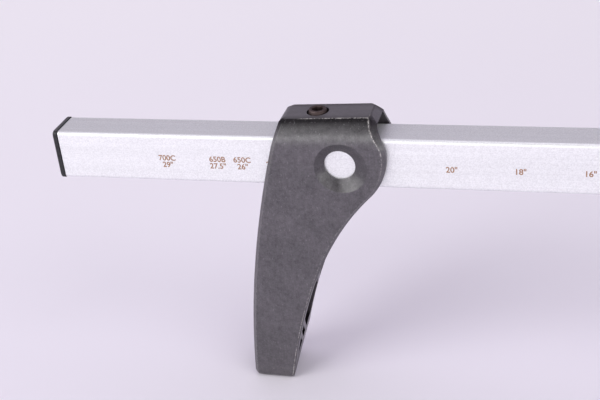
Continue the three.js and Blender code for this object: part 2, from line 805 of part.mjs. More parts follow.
// Probe with its bushes.
function probeGroup() {
  const group = new THREE.Group();
  const lowerBush = mesh('lower_rod_bush', makeBush(lowerBushLength, -housingBottom), 'brass');
  lowerBush.rotation.x = Math.PI;
  const footScrew = mesh('probe_foot_screw', makeFootScrew(), 'blackOxide');
  footScrew.rotation.x = Math.PI / 2;
  footScrew.position.z = footTop - footScrewDrop;
  const gripScrew = mesh('probe_grip_screw', roundHeadScrew(
    gripScrewRadius, gripScrewLength, gripScrewHeadRadius, gripScrewHeadHeight,
    gripScrewRound, gripScrewSocketFlats, gripScrewSocketDepth,
  ), 'blackOxide');
  gripScrew.position.z = gripTop + seatGap;
  group.add(
    mesh('upper_rod_bush', makeBush(upperBushLength, legTop), 'brass'),
    lowerBush,
    mesh('probe_rod', makeRod(), 'groundSteel'),
    mesh('probe_foot', makeFoot(), 'groundSteel'),
    footScrew,
    mesh('probe_grip', makeGrip(), 'blackMoulding'),
    gripScrew,
  );
  return group;
}

// Housing with its two screws and the clamp.
function housingGroup() {
  const group = new THREE.Group();
  const knob = mesh('thumb_knob', makeKnob(), 'blackMoulding');
  knob.rotation.x = Math.PI / 2;
  group.add(
    mesh('centre_housing', makeHousing(), 'blackMoulding'),
    mesh('thumb_insert', makeInsert(), 'brass'),
    mesh('thumb_stud', makeStud(), 'zincPlate'),
    knob,
    mesh('clamp_pad', makePad(), 'brass'),
  );
  [['left', -housingScrewSpread], ['right', housingScrewSpread]].forEach(([side, place]) => {
    const screw = mesh(`${side}_housing_screw`, roundHeadScrew(
      housingScrewRadius, housingScrewLength, housingScrewHeadRadius, housingScrewHeadHeight,
      housingScrewRound, housingScrewSocketFlats, housingScrewSocketDepth,
    ), 'blackOxide');
    screw.rotation.x = -Math.PI / 2;
    screw.position.set(place, legDepth / 2 + seatGap, 0);
    group.add(screw);
  });
  return group;
}

// Bar with its end caps.
function barGroup() {
  const group = new THREE.Group();
  const rightCap = mesh('right_end_cap', makeEndCap(), 'blackCap');
  rightCap.position.x = barLength / 2 + seatGap;
  const leftCap = mesh('left_end_cap', makeEndCap(), 'blackCap');
  leftCap.position.x = -(barLength / 2 + seatGap);
  leftCap.rotation.z = Math.PI;
  group.add(mesh('bar_tube', makeBar(), 'blastedAluminium'), leftCap, rightCap);
  return group;
}

const gauge = new THREE.Group();
gauge.name = 'wheel_dishing_gauge';
gauge.add(barGroup(), legGroup('left', 0), legGroup('right', Math.PI), housingGroup(), probeGroup());
gauge.position.set(0, barMidPlane, legReach);

export default gauge;
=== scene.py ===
"""Looks of a wheel dishing gauge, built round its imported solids.

Lengths are in millimetres from the middle of the bar (+X along it, -Y to the reader,
+Z up) and become metres in the model's frame when a piece is finished.
"""

import json
import logging
import math
from dataclasses import dataclass, field
from enum import Enum
from typing import Sequence

import bmesh
import bpy
import numpy as np
from mathutils import Matrix, Vector
from numpy.typing import NDArray

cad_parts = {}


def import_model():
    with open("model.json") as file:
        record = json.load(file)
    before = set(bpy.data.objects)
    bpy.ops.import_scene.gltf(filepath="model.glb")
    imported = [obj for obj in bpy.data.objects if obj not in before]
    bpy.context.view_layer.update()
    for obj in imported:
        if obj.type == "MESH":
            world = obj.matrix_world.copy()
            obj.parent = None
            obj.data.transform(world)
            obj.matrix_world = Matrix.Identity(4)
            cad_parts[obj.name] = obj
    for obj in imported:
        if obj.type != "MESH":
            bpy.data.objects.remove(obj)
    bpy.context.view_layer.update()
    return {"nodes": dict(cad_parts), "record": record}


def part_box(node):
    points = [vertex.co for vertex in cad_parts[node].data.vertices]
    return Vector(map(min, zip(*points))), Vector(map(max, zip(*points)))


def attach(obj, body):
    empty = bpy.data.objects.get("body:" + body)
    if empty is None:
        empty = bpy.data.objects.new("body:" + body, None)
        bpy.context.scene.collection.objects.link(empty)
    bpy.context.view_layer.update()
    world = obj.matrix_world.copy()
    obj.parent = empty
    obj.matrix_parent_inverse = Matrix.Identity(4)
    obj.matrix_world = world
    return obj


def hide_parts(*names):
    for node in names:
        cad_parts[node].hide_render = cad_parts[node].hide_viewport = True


Array = NDArray[np.float64]
Colour = tuple[float, float, float]
Material = bpy.types.Material
Socket = bpy.types.NodeSocket
Solid = bpy.types.Object

MM = 0.001
LOG = logging.getLogger("dishing_gauge")


class Side(Enum):
    """The two ends of the bar, each with its direction along X."""

    LEFT = -1
    RIGHT = 1

    @property
    def word(self) -> str:
        """The side's name as pieces spell it."""
        return self.name.lower()


# Shapes

EDGE_STEPS = 3
LONG_SHARES = np.array([0.012, 0.03, 0.08, 0.2, 0.35, 0.5, 0.65, 0.8, 0.92, 0.97, 0.988])
SHORT_SHARES = np.array([0.2, 0.5, 0.8])
SIDE_POINTS = EDGE_STEPS + 1 + len(LONG_SHARES)
CUT_POINTS = EDGE_STEPS + 1 + len(SHORT_SHARES)
CUT_EASE = 0.35
SCREW_SPREAD = 14
CLEAR_HOLE = 2.25


def filleted(corners: Array, radius: float, steps: int, closed: bool) -> Array:
    """Rounds the corners of outlines.

    Each corner P between neighbours A and B becomes the curve
    (1-s)^2 P0 + 2s(1-s) P + s^2 P1, where P0 and P1 lie on the two edges at the tangent
    length of the radius, capped at 45% of the shorter edge.

    Args:
        corners: points, shape (..., count, 2).
        radius: radius of the corners.
        steps: spans of each curve.
        closed: whether the last point joins the first.

    Returns:
        Points, shape (..., new count, 2).
    """
    before = np.roll(corners, 1, axis=-2) - corners
    after = np.roll(corners, -1, axis=-2) - corners
    span_before = np.linalg.norm(before, axis=-1, keepdims=True)
    span_after = np.linalg.norm(after, axis=-1, keepdims=True)
    towards = before / np.maximum(span_before, 1e-9)
    away = after / np.maximum(span_after, 1e-9)
    cosine = np.clip((towards * away).sum(-1, keepdims=True), -0.9999, 0.9999)
    tangent = radius * np.sqrt((1 + cosine) / (1 - cosine))
    tangent = np.minimum(tangent, 0.45 * np.minimum(span_before, span_after))
    start, end = corners + towards * tangent, corners + away * tangent
    share = np.linspace(0, 1, steps + 1)[:, None]
    curves = (
        (1 - share) ** 2 * start[..., None, :]
        + 2 * share * (1 - share) * corners[..., None, :]
        + share**2 * end[..., None, :]
    )
    if closed:
        return curves.reshape(*corners.shape[:-2], -1, 2)
    inner = curves[..., 1:-1, :, :].reshape(*corners.shape[:-2], -1, 2)
    return np.concatenate([corners[..., :1, :], inner, corners[..., -1:, :]], axis=-2)


def rectangle(width: float, height: float, corner: float, steps: int = 8) -> Array:
    """Outline of a rectangle with round corners, counter-clockwise."""
    right, top = width / 2, height / 2
    corners = np.array([[-right, -top], [right, -top], [right, top], [-right, top]])
    return filleted(corners, corner, steps, closed=True)


def corner_inset(corner: float, distance: Array) -> Array:
    """How far a round corner draws a side in, by distance d from the end.

    It is r - sqrt(r^2 - (r-d)^2) up to the corner's radius r, and none past it.
    """
    near = np.maximum(0, corner - distance)
    return corner - np.sqrt(corner**2 - near**2)


def ridges(radius: float, depth: float, low: float, high: float, count: int) -> list:
    """Profile of a thread: (radius, height) points, where every second one is deeper."""
    heights = np.linspace(low, high, count)
    return [(radius - depth * (index % 2), height) for index, height in enumerate(heights)]


def linked(name: str, data: bpy.types.ID) -> Solid:
    """New object of the scene that holds some data."""
    made = bpy.data.objects.new(name, data)
    bpy.context.scene.collection.objects.link(made)
    return made


def skin(name: str, rings: Array, looped: bool = False) -> Solid:
    """Skins a row of closed rings into a closed mesh whose faces point out.

    Point j of ring i joins point j of ring i+1. The first and last ring are filled
    flat, or joined to each other.

    Args:
        name: name of the piece.
        rings: points in millimetres, shape (rings, count, 3).
        looped: whether the last ring joins the first.

    Returns:
        The new object, in metres.
    """
    total, count = rings.shape[:2]
    ring, place = np.meshgrid(
        np.arange(total if looped else total - 1), np.arange(count), indexing="ij"
    )
    here, following, beside = ring * count, (ring + 1) % total * count, (place + 1) % count
    quads = np.stack([here + place, here + beside, following + beside, following + place], -1)
    faces = quads.reshape(-1, 4).tolist()
    if not looped:
        faces.append(list(range(count))[::-1])
        faces.append(list(range((total - 1) * count, total * count)))
    mesh = bpy.data.meshes.new(name)
    mesh.from_pydata((rings.reshape(-1, 3) * MM).tolist(), [], faces)
    shape = bmesh.new()
    shape.from_mesh(mesh)
    bmesh.ops.remove_doubles(shape, verts=shape.verts, dist=1e-7)
    bmesh.ops.dissolve_degenerate(shape, edges=shape.edges, dist=1e-8)
    bmesh.ops.recalc_face_normals(shape, faces=shape.faces)
    if shape.calc_volume(signed=True) < 0:
        bmesh.ops.reverse_faces(shape, faces=shape.faces)
    shape.to_mesh(mesh)
    shape.free()
    return linked(name, mesh)


def along(axis: int, outline: Array, places: Sequence[float]) -> Array:
    """Rings of an outline at places along X (axis 0) or Z (axis 2)."""
    flat = np.broadcast_to(outline, (len(places), *outline.shape))
    return np.insert(flat, axis, np.asarray(places, float)[:, None], axis=-1)


def angles(steps: int) -> Array:
    """Even angles round an axis."""
    return np.arange(steps) * (2 * np.pi / steps)


def spun(radius: Array, level: Array, steps: int) -> Array:
    """Rings (r cos a, r sin a, h) about Z, with the radii and height of each in a row."""
    angle = angles(steps)
    level = np.broadcast_to(level, (len(level), steps))
    return np.stack([radius * np.cos(angle), radius * np.sin(angle), level], axis=-1)


def turned(
    name: str, profile: Sequence[tuple[float, float]], ease: float = 0.15, steps: int = 64,
    looped: bool = False,
) -> Solid:
    """Turns a profile about Z: (r cos a, r sin a, h) for each (r, h) of the eased profile.

    Args:
        name: name of the piece.
        profile: (radius, height) points; an open one starts and ends on flat ends.
        ease: radius that softens its corners.
        steps: points round the axis.
        looped: whether the profile closes on itself, as for a bush.

    Returns:
        The new object.
    """
    line = filleted(np.array(profile, float), ease, 3, closed=looped)
    return skin(name, spun(line[:, :1], line[:, 1:], steps), looped)


def drill(radius: float, low: float, high: float, steps: int = 48) -> Solid:
    """Plain round cutter about Z."""
    return turned("drill", [(radius, low), (radius, high)], 0, steps)


def prism(name: str, flats: float, low: float, high: float) -> Solid:
    """Hexagonal prism along Z, two of whose flats face the front and the back."""
    angle = angles(6)
    corners = flats / math.sqrt(3) * np.stack([np.cos(angle), np.sin(angle)], -1)
    return skin(name, along(2, corners, [low, high]))


def carve(body: Solid, *tools: Solid, action: str = "DIFFERENCE") -> Solid:
    """Cuts tools out of a body, or joins them to it, and deletes the tools."""
    for tool in tools:
        change = body.modifiers.new("cut", "BOOLEAN")
        change.operation = action
        change.solver = "EXACT"
        change.object = tool
    bpy.context.view_layer.update()
    shown = body.evaluated_get(bpy.context.evaluated_depsgraph_get())
    made = bpy.data.meshes.new_from_object(shown)
    body.modifiers.clear()
    body.data = made
    for tool in tools:
        bpy.data.objects.remove(tool)
    return body


def shift(
    piece: Solid, x: float = 0, y: float = 0, z: float = 0, turn: Matrix | None = None
) -> Solid:
    """Moves a piece's mesh by millimetres, after a turn."""
    place = Matrix.Translation(Vector((x, y, z)) * MM)
    piece.data.transform(place @ turn if turn else place)
    return piece


TO_READER = Matrix.Rotation(math.radians(90), 4, "X")
TO_BACK = Matrix.Rotation(math.radians(-90), 4, "X")
HEAD_DOWN = Matrix.Rotation(math.radians(180), 4, "X")
TURNED_ROUND = Matrix.Rotation(math.pi, 4, "Z")


# Finishes


class Nodes:
    """Short way to add and join the nodes of a tree."""

    def __init__(self, tree: bpy.types.NodeTree) -> None:
        """Takes the tree."""
        self.tree = tree

    def join(self, value: object, entry: Socket) -> None:
        """Joins a socket to an input, or sets the input's value."""
        if isinstance(value, Socket):
            self.tree.links.new(value, entry)
        else:
            entry.default_value = value

    def add(self, kind: str, inputs: dict[str | int, object], **settings: object) -> bpy.types.Node:
        """Adds a node.

        Args:
            kind: node type after "ShaderNode".
            inputs: values or output sockets for its inputs.
            settings: its own properties.

        Returns:
            The node.
        """
        node = self.tree.nodes.new("ShaderNode" + kind)
        for key, value in settings.items():
            setattr(node, key, value)
        for key, value in inputs.items():
            self.join(value, node.inputs[key])
        return node

    def math(self, action: str, first: object, second: object = 0.0) -> Socket:
        """One sum, product or other step."""
        return self.add("Math", {0: first, 1: second}, operation=action).outputs[0]

    def vector(self, action: str, first: object, second: object) -> Socket:
        """One such step with vectors."""
        return self.add("VectorMath", {0: first, 1: second}, operation=action).outputs[0]

    def total(self, first: Socket, *others: Socket) -> Socket:
        """Sum of values."""
        for other in others:
            first = self.math("ADD", first, other)
        return first

    def remap(
        self, value: Socket, low: float, high: float, to_low: float = 0.0, to_high: float = 1.0
    ) -> Socket:
        """Carries low..high to to_low..to_high, and holds what lies outside."""
        steps = {0: value, 1: low, 2: high, 3: to_low, 4: to_high}
        return self.add("MapRange", steps).outputs[0]

    def mix(self, share: Socket, first: object, second: object) -> Socket:
        """Blend of two colours."""
        node = self.add("Mix", {0: share}, data_type="RGBA")
        for index, value in ((6, first), (7, second)):
            colour = value if isinstance(value, Socket) else (*value, 1)
            self.join(colour, node.inputs[index])
        return node.outputs[2]


class Graph(Nodes):
    """Nodes of one material with a Principled surface."""

    def __init__(self, name: str) -> None:
        """Starts the material."""
        self.material = bpy.data.materials.new(name)
        self.material.use_nodes = True
        super().__init__(self.material.node_tree)
        self.surface = self.tree.nodes["Principled BSDF"]
        self.place = self.add("TexCoord", {}).outputs["Object"]

    def noise(
        self, size: float, detail: float = 2, stretch: Sequence[float] = (1, 1, 1),
        roughness: float = 0.5,
    ) -> Socket:
        """Noise whose lumps are a given size in millimetres, longer along each axis by stretch."""
        scaled = self.add("Mapping", {"Vector": self.place, "Scale": [1 / s for s in stretch]})
        inputs = {
            "Vector": scaled.outputs[0], "Scale": 1 / (size * MM),
            "Detail": detail, "Roughness": roughness,
        }
        return self.add("TexNoise", inputs).outputs[0]

    def spread(self, noise: Socket, low: float, high: float) -> Socket:
        """Carries the middle of a noise, 0.3 to 0.7, to low..high."""
        return self.remap(noise, 0.3, 0.7, low, high)

    def shade(self, colour: Colour, *tones: Socket) -> Socket:
        """A colour times the sum of tones."""
        inputs = {0: colour, "Scale": self.total(*tones)}
        return self.add("VectorMath", inputs, operation="SCALE").outputs[0]

    def bump(self, height: Socket, depth: float) -> Socket:
        """Normal of the surface raised by height times depth in millimetres."""
        inputs = {"Height": height, "Distance": depth * MM, "Strength": 1.0}
        return self.add("Bump", inputs).outputs[0]

    def feed(self, inputs: dict[str, object]) -> Material:
        """Sets or joins inputs of the surface, and gives the finished material."""
        for name, value in inputs.items():
            self.join(value, self.surface.inputs[name])
        return self.material


@dataclass(frozen=True)
class Moulding:
    """Black glass-filled plastic: a fine grain, pale fibres, pale edge lines that are part wear and
    part painted highlight, painted light on top faces, and painted shade by a leg's window.
    """

    name: str = "black_moulding"
    colour: Colour = (0.035, 0.0295, 0.036)
    pale: Colour = (0.16, 0.15, 0.16)
    # Colour of the pale edge lines, part wear and part painted highlight.
    worn_and_highlight_colour: Colour = (0.6, 0.57, 0.55)
    roughness: float = 0.33
    grain: float = 0.01
    # Paleness of upward faces: painted light on top faces.
    dust: float = 0.4
    shine: float = 1.0
    window: Array | None = None

    def build(self) -> Material:
        """Makes the material."""
        graph = Graph(self.name)
        patches = graph.noise(9, 4)
        speckle = graph.noise(0.5, 3, roughness=0.7)
        streaks = graph.noise(0.45, 2, (1, 1, 16))
        tone = graph.total(
            graph.spread(patches, 0.7, 1.3), graph.spread(speckle, -0.6, 0.6),
            graph.spread(streaks, -0.22, 0.22),
        )
        blotches = graph.noise(2.2, 4, roughness=0.65)
        gloss = graph.remap(blotches, 0.35, 0.65, 0.8 * self.shine, 1.15 * self.shine)
        relief = graph.noise(0.7, 1)
        if self.window is not None:
            turning, painted_shade = self._by_window(graph)
            relief = graph.total(relief, turning)
            # Painted shade: darker tone and less gloss under the crease and in the window's cone.
            tone = graph.math("MULTIPLY", tone, graph.remap(painted_shade, 0, 1, 1.0, 0.26))
            gloss = graph.math("MULTIPLY", gloss, graph.remap(painted_shade, 0, 1, 1.0, 0.12))
        fibres = graph.remap(graph.noise(0.45, 1, (1, 1, 3)), 0.66, 0.78, 0, 0.6)
        normal = graph.add("NewGeometry", {}).outputs["Normal"]
        upward = graph.add("SeparateXYZ", {0: normal}).outputs[2]
        # Pale fibres are the plastic's own specks; the paleness of upward faces is painted light on
        # top faces.
        dust = graph.math("MAXIMUM", fibres, graph.remap(upward, 0.9, 0.98, 0, self.dust))
        colour = graph.mix(dust, graph.shade(self.colour, tone), self.pale)
        # Pale edge lines: part wear, part painted highlight.
        wear_and_highlight = graph.add("Attribute", {}, attribute_name="wear_and_highlight").outputs["Fac"]
        broken = graph.remap(graph.noise(1.0, 3, roughness=0.75), 0.45, 0.56, 0.06, 1.0)
        rough = graph.spread(patches, self.roughness - 0.03, self.roughness + 0.04)
        return graph.feed({
            "Base Color": graph.mix(graph.math("MULTIPLY", wear_and_highlight, broken), colour, self.worn_and_highlight_colour),
            "Roughness": graph.total(rough, graph.spread(speckle, -0.04, 0.04)),
            "Specular IOR Level": gloss,
            "IOR": 1.6,
            "Normal": graph.bump(relief, self.grain),
        })

    def _by_window(self, graph: Graph) -> tuple[Socket, Socket]:
        """Relief and painted shade that are placed from a leg's window.

        The relief is noise of the distance from the window's axis, on the dished rim.
        The painted shade lies where z + tilt x is near the crown's top, away from the middle of
        the depth, under the crease, and thinly on the rim, in the window's cone.

        Args:
            graph: the material's nodes.

        Returns:
            The relief's height and the share of painted shade.
        """
        apart = graph.vector("SUBTRACT", graph.place, Vector(self.window) * MM)
        flat = graph.vector("MULTIPLY", apart, (1, 0, 1))
        reach = graph.add("VectorMath", {0: flat}, operation="LENGTH").outputs["Value"]
        turns = graph.math("MULTIPLY", reach, 2.6 / MM)
        rings = graph.add("TexNoise", {"W": turns}, noise_dimensions="1D").outputs[0]
        inside = graph.remap(reach, 10.05 * MM, 10.2 * MM, 1.0, 0.0)
        relief = graph.math("MULTIPLY", graph.math("MULTIPLY", rings, 3.0), inside)
        across, deep, high = graph.add("SeparateXYZ", {0: apart}).outputs
        tilt = math.copysign(Crown.tilt, self.window[0])
        level = graph.total(high, graph.math("MULTIPLY", across, tilt))
        arch = graph.remap(level, 12.6 * MM, 17.8 * MM)
        edge = graph.remap(graph.math("ABSOLUTE", deep), 3.4 * MM, 6.3 * MM)
        # Painted shade under the crown's crease, away from the middle of the depth.
        painted_shade = graph.math("MULTIPLY", arch, edge)
        # A quarter as much painted shade inside the window's cone.
        return relief, graph.math("MAXIMUM", painted_shade, graph.math("MULTIPLY", inside, 0.25))


@dataclass(frozen=True)
class Blasted:
    """Drawn and finely blasted aluminium: long faint lines, fine speckle."""

    name: str = "blasted_aluminium"
    colour: Colour = (0.862, 0.868, 0.876)
    roughness: float = 0.46
    metallic: float = 0.7

    def build(self) -> Material:
        """Makes the material."""
        graph = Graph(self.name)
        lines = graph.noise(0.35, 3, (160, 1, 1))
        broad = graph.noise(3.0, 2, (60, 1, 1))
        speckle = graph.noise(0.5, 3, roughness=0.7)
        relief = graph.total(graph.noise(0.6, 1), graph.math("MULTIPLY", broad, 0.7))
        return graph.feed({
            "Base Color": graph.shade(
                self.colour, graph.spread(lines, 0.965, 1.01),
                graph.spread(speckle, -0.13, 0.1), graph.spread(broad, -0.02, 0.02),
            ),
            "Metallic": self.metallic,
            "Roughness": graph.spread(speckle, self.roughness - 0.06, self.roughness + 0.08),
            "Normal": graph.bump(relief, 0.008),
        })


@dataclass(frozen=True)
class Turned:
    """Machined metal whose tool marks run round an axis."""

    name: str
    colour: Colour
    roughness: float = 0.28
    metallic: float = 1.0
    marks: float = 0.012

    def build(self) -> Material:
        """Makes the material."""
        graph = Graph(self.name)
        rings = graph.noise(0.25, 2, (40, 40, 1))
        stain = graph.noise(5, 3)
        stained = graph.remap(stain, 0.35, 0.65, -0.06, 0.04)
        return graph.feed({
            "Base Color": graph.shade(self.colour, graph.spread(rings, 0.94, 1.03), stained),
            "Metallic": self.metallic,
            "Roughness": graph.spread(stain, self.roughness - 0.05, self.roughness + 0.1),
            "Normal": graph.bump(rings, self.marks),
        })


@dataclass(frozen=True)
class SizeMark:
    """Brown mark burnt into the bar's skin, thin in places."""

    name: str = "brown_mark"
    colour: Colour = (0.27, 0.13, 0.06)
    bare: Colour = (0.5, 0.33, 0.22)

    def build(self) -> Material:
        """Makes the material."""
        graph = Graph(self.name)
        thin = graph.remap(graph.noise(0.3, 2), 0.45, 0.8)
        colour = graph.mix(thin, self.colour, self.bare)
        return graph.feed({"Base Color": colour, "Roughness": 0.6, "Metallic": 0.1})


# Pieces


@dataclass
class Piece:
    """What every sub-assembly needs: where the bar's middle is, and the finishes."""

    middle: Array
    finishes: dict[str, Material]

    def settle(
        self, piece: Solid, finish: str, body: str, *nodes: str, slot: str = "",
        side: Side | None = None, sharp: float = 32,
    ) -> None:
        """Puts a finished mesh in its place, on its body, and hides the CAD nodes that it stands
        for.

        Args:
            piece: the piece, in the bar's own millimetres.
            finish: name of its finish.
            body: body that it moves with.
            nodes: CAD nodes that it stands for.
            slot: material slot of the record, where its name isn't the finish's; not used.
            side: end of the bar, where a left piece is turned to it.
            sharp: angle in degrees above which an edge stays sharp.
        """
        slot = slot or finish
        if side is Side.RIGHT:
            shift(piece, turn=TURNED_ROUND)
        shift(piece, *self.middle)
        piece.data.shade_smooth()
        piece.data.set_sharp_from_angle(angle=math.radians(sharp))
        piece.modifiers.new("even_shading", "WEIGHTED_NORMAL").keep_sharp = True
        piece.data.materials.clear()
        piece.data.materials.append(self.finishes[finish])
        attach(piece, body)
        if nodes:
            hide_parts(*nodes)
        LOG.info("%s: %d faces on %s", piece.name, len(piece.data.polygons), body)


@dataclass
class Bar(Piece):
    """Aluminium tube with its end caps and size marks."""

    length: float = 650
    height: float = 20
    depth: float = 15
    wall: float = 1.5
    corner: float = 1.5
    rod_hole: float = 5
    clamp_hole: float = 4
    text_height: float = 2.25
    text_rise: float = 0.02
    text_weight: float = 0.06
    line_step: float = 2.9
    cap_gap: float = 0.25
    cap_lip: float = 0.6
    cap_corner: float = 1.8
    plug_corner: float = 1.3
    plug_wall: float = 1.2
    labels: tuple[tuple[float | str, ...], ...] = (
        (280.0, "700C", '29"'), (259.4, "650B", '27.5"'), (249.4, "650C", '26"'),
        (237.7, '24"'), (169.3, '20"'), (144.6, '18"'), (120.2, '16"'),
    )

    def build(self) -> None:
        """Makes the tube, the caps and the marks."""
        self._tube()
        for side in Side:
            self._cap(side)
            self._marks(side)

    def _tube(self) -> None:
        """Tube: outer and inner rounded rectangles carried along X, then drilled."""
        half = self.length / 2
        outer = rectangle(self.depth, self.height, self.corner)
        inner = rectangle(
            self.depth - 2 * self.wall, self.height - 2 * self.wall, self.corner - 0.3
        )
        tube = skin("bar", along(0, outer, [-half, half]))
        bore = skin("bore", along(0, inner, [-half - 5, half + 5]))
        rod_hole = drill(self.rod_hole, -self.height, self.height)
        clamp_hole = shift(drill(self.clamp_hole, 0, self.depth), turn=TO_READER)
        carve(tube, bore, rod_hole, clamp_hole, *screw_holes(self.depth))
        self.settle(tube, "blasted_aluminium", "frame", "bar_tube")

    def _block(self, name: str, stations: Sequence, more: float, corner: float) -> Solid:
        """Skin along X whose rings are the tube's outline, made larger.

        Args:
            name: name of the piece.
            stations: place along X and inset of each ring.
            more: how much wider and higher than the tube it is.
            corner: radius of the outline's corners.

        Returns:
            The new object.
        """
        wide, high = self.depth + more, self.height + more
        outlines = [rectangle(wide - 2 * inset, high - 2 * inset, corner) for _, inset in stations]
        rings = [along(0, flat, [at])[0] for flat, (at, _) in zip(outlines, stations)]
        return skin(name, np.array(rings))

    def _cap(self, side: Side) -> None:
        """Cap: a soft-edged flange outside the tube and a ribbed, hollow plug inside it.

        The flange's face draws in by a quarter round of 0.75 mm at its edge.
        """
        turn = np.linspace(0, np.pi / 2, 7)
        edge = zip(1.25 + 0.75 * np.sin(turn), 0.75 * (1 - np.cos(turn)))
        flange = self._block(
            f"{side.word}_cap", [(0.0, 0.12), (0.12, 0.0), *edge], self.cap_lip, self.cap_corner
        )
        grip = -2 * (self.wall + self.cap_gap + 0.2)
        plug_at = [0.1, -3.6, -4.0, -5.0, -5.4, -7.6, -8.0, -9.0, -9.4, -12.0]
        plug_in = [0, 0, -0.2, -0.2, 0, 0, -0.2, -0.2, 0, 0.4]
        plug = self._block("plug", list(zip(plug_at, plug_in)), grip, self.plug_corner)
        hollow = self._block("hollow", [(-13, 0), (-0.05, 0)], grip - 2 * self.plug_wall, 1)
        carve(plug, hollow)
        carve(flange, plug, action="UNION")
        shift(flange, x=self.length / 2 + self.cap_gap)
        if side is Side.LEFT:
            shift(flange, turn=TURNED_ROUND)
        self.settle(flange, "black_cap", "frame", f"{side.word}_end_cap")

    def _marks(self, side: Side) -> None:
        """Size marks on the front face, one or two centred lines of text at each place."""
        made = []
        front = -self.depth / 2 - self.text_rise
        for place, *lines in self.labels:
            for row, words in enumerate(lines):
                down = -1.4 - 1.35 * (len(lines) - 1) + self.line_step * (len(lines) - 1 - row)
                made.append(self._words(words, side.value * place, front, down))
        with bpy.context.temp_override(
            active_object=made[0], selected_editable_objects=made, selected_objects=made
        ):
            bpy.ops.object.join()
        made[0].name = f"{side.word}_size_marks"
        self.settle(made[0], "brown_mark", "frame", slot="blasted_aluminium")

    def _words(self, words: str, x: float, y: float, z: float) -> Solid:
        """One line of text as a thin mesh, centred at a point of the front face."""
        curve = bpy.data.curves.new("words", "FONT")
        curve.body = words
        curve.align_x = "CENTER"
        curve.size = self.text_height * MM / 0.7
        curve.offset = self.text_weight * MM
        curve.extrude = self.text_rise * MM / 2
        text = linked("words", curve)
        bpy.context.view_layer.update()
        shown = text.evaluated_get(bpy.context.evaluated_depsgraph_get())
        mesh = bpy.data.meshes.new_from_object(shown)
        bpy.data.objects.remove(text)
        made = shift(linked("words", mesh), turn=TO_READER)
        return shift(made, x, y, z - self.text_height / 2)


def screw_holes(depth: float) -> list[Solid]:
    """Cutters from the middle to the back for the two screws that hold the housing."""
    return [
        shift(drill(CLEAR_HOLE, 0, depth, 32), x=x, turn=TO_BACK)
        for x in (-SCREW_SPREAD, SCREW_SPREAD)
    ]


@dataclass
class Crown:
    """Form that the legs and the housing share above the bar's middle."""

    half_depth: float = 11
    top: float = 18.6
    start: float = 7
    drop: float = 4.5
    wall: float = 3
    chamfer: float = 1.45
    top_chamfer: float = 2.9
    back_chamfer: float = 4.0
    corner: float = 1.8
    tilt: float = 0.035
    tunnel: tuple[float, float, float] = (15.6, 20.6, 1.5)
    crease: float = 0.3

    @property
    def rise(self) -> float:
        """Height of the arched part."""
        return self.top - self.start

    @property
    def radius(self) -> float:
        """Radius of the arch, from its rise and drop."""
        return (self.drop**2 + self.rise**2) / (2 * self.drop)

    def depth_at(self, height: Array) -> Array:
        """Half depth: straight up to the start, then the arc D - R + sqrt(R^2 - rise^2)."""
        rise = np.maximum(0, height - self.start)
        return self.half_depth - self.radius + np.sqrt(self.radius**2 - rise**2)

    def cut_at(self, height: Array, widest: float) -> Array:
        """Width of a chamfer across, which grows linearly over the arched part."""
        share = np.maximum(0, height - self.start) / self.rise
        return self.chamfer + (widest - self.chamfer) * share

    def heights(self) -> Array:
        """Heights of the arch's rings, closer together towards the top."""
        bend = np.linspace(0, np.pi / 2, 30)[1:-1]
        arch = self.start + (self.rise - self.crease) * np.sin(bend)
        return np.concatenate([arch, [self.top - self.crease, self.top]])

    def eased_top(self, height: Array, half: Array) -> tuple[Array, Array, Array]:
        """Rounds the crease round the top with more rings.

        They follow (1-s)^2 A + 2s(1-s) B + s^2 C, from A on the arch through the
        crease's corner B to C on the top, as far from the corner as A is.

        Args:
            height: heights that end with the arch's last ring and the top.
            half: half depth at each of them.

        Returns:
            Heights, half depths, and how far each ring draws the sides in.
        """
        share = np.array([0.3, 0.5, 0.7, 1.0])[:, None]
        first = np.array([half[-2], height[-2]])
        corner = np.array([half[-1], height[-1]])
        last = corner - np.array([np.linalg.norm(corner - first), 0])
        curve = (1 - share) ** 2 * first + 2 * share * (1 - share) * corner + share**2 * last
        inset = np.concatenate([np.zeros(len(height) - 1), curve[:, 1] - height[-2]])
        heights, halves = (
            np.concatenate([row[:-1], curve[:, column]]) for row, column in ((height, 1), (half, 0))
        )
        return heights, halves, inset

    def lean(self, rings: Array, collar: float) -> Array:
        """Lowers the crown outwards: z - tilt (collar - x) times the share of the rise."""
        share = np.maximum(0, rings[..., 2] - self.start) / self.rise
        lowered = rings[..., 2] - self.tilt * (collar - rings[..., 0]) * share
        return np.concatenate([rings[..., :2], lowered[..., None]], axis=-1)

    def inside(self, across: float, post: Solid) -> tuple[Solid, Solid]:
        """Cutters of what is hollow, both as long as twice a reach across.

        Args:
            across: how far they reach along X.
            post: what stays standing between the crown and the bar.

        Returns:
            The space under the crown's wall and the bar's tunnel.
        """
        heights = np.linspace(self.start + 2, self.top - self.wall, 12)
        half = self.depth_at(heights) - self.wall
        back = np.stack([half, heights], -1)
        front = np.stack([-half, heights], -1)[::-1]
        outline = filleted(np.concatenate([back, front]), 0.4, 2, closed=True)
        space, tunnel = (
            skin("inside", along(0, shape, [-across, across]))
            for shape in (outline, rectangle(*self.tunnel))
        )
        return carve(space, post), tunnel


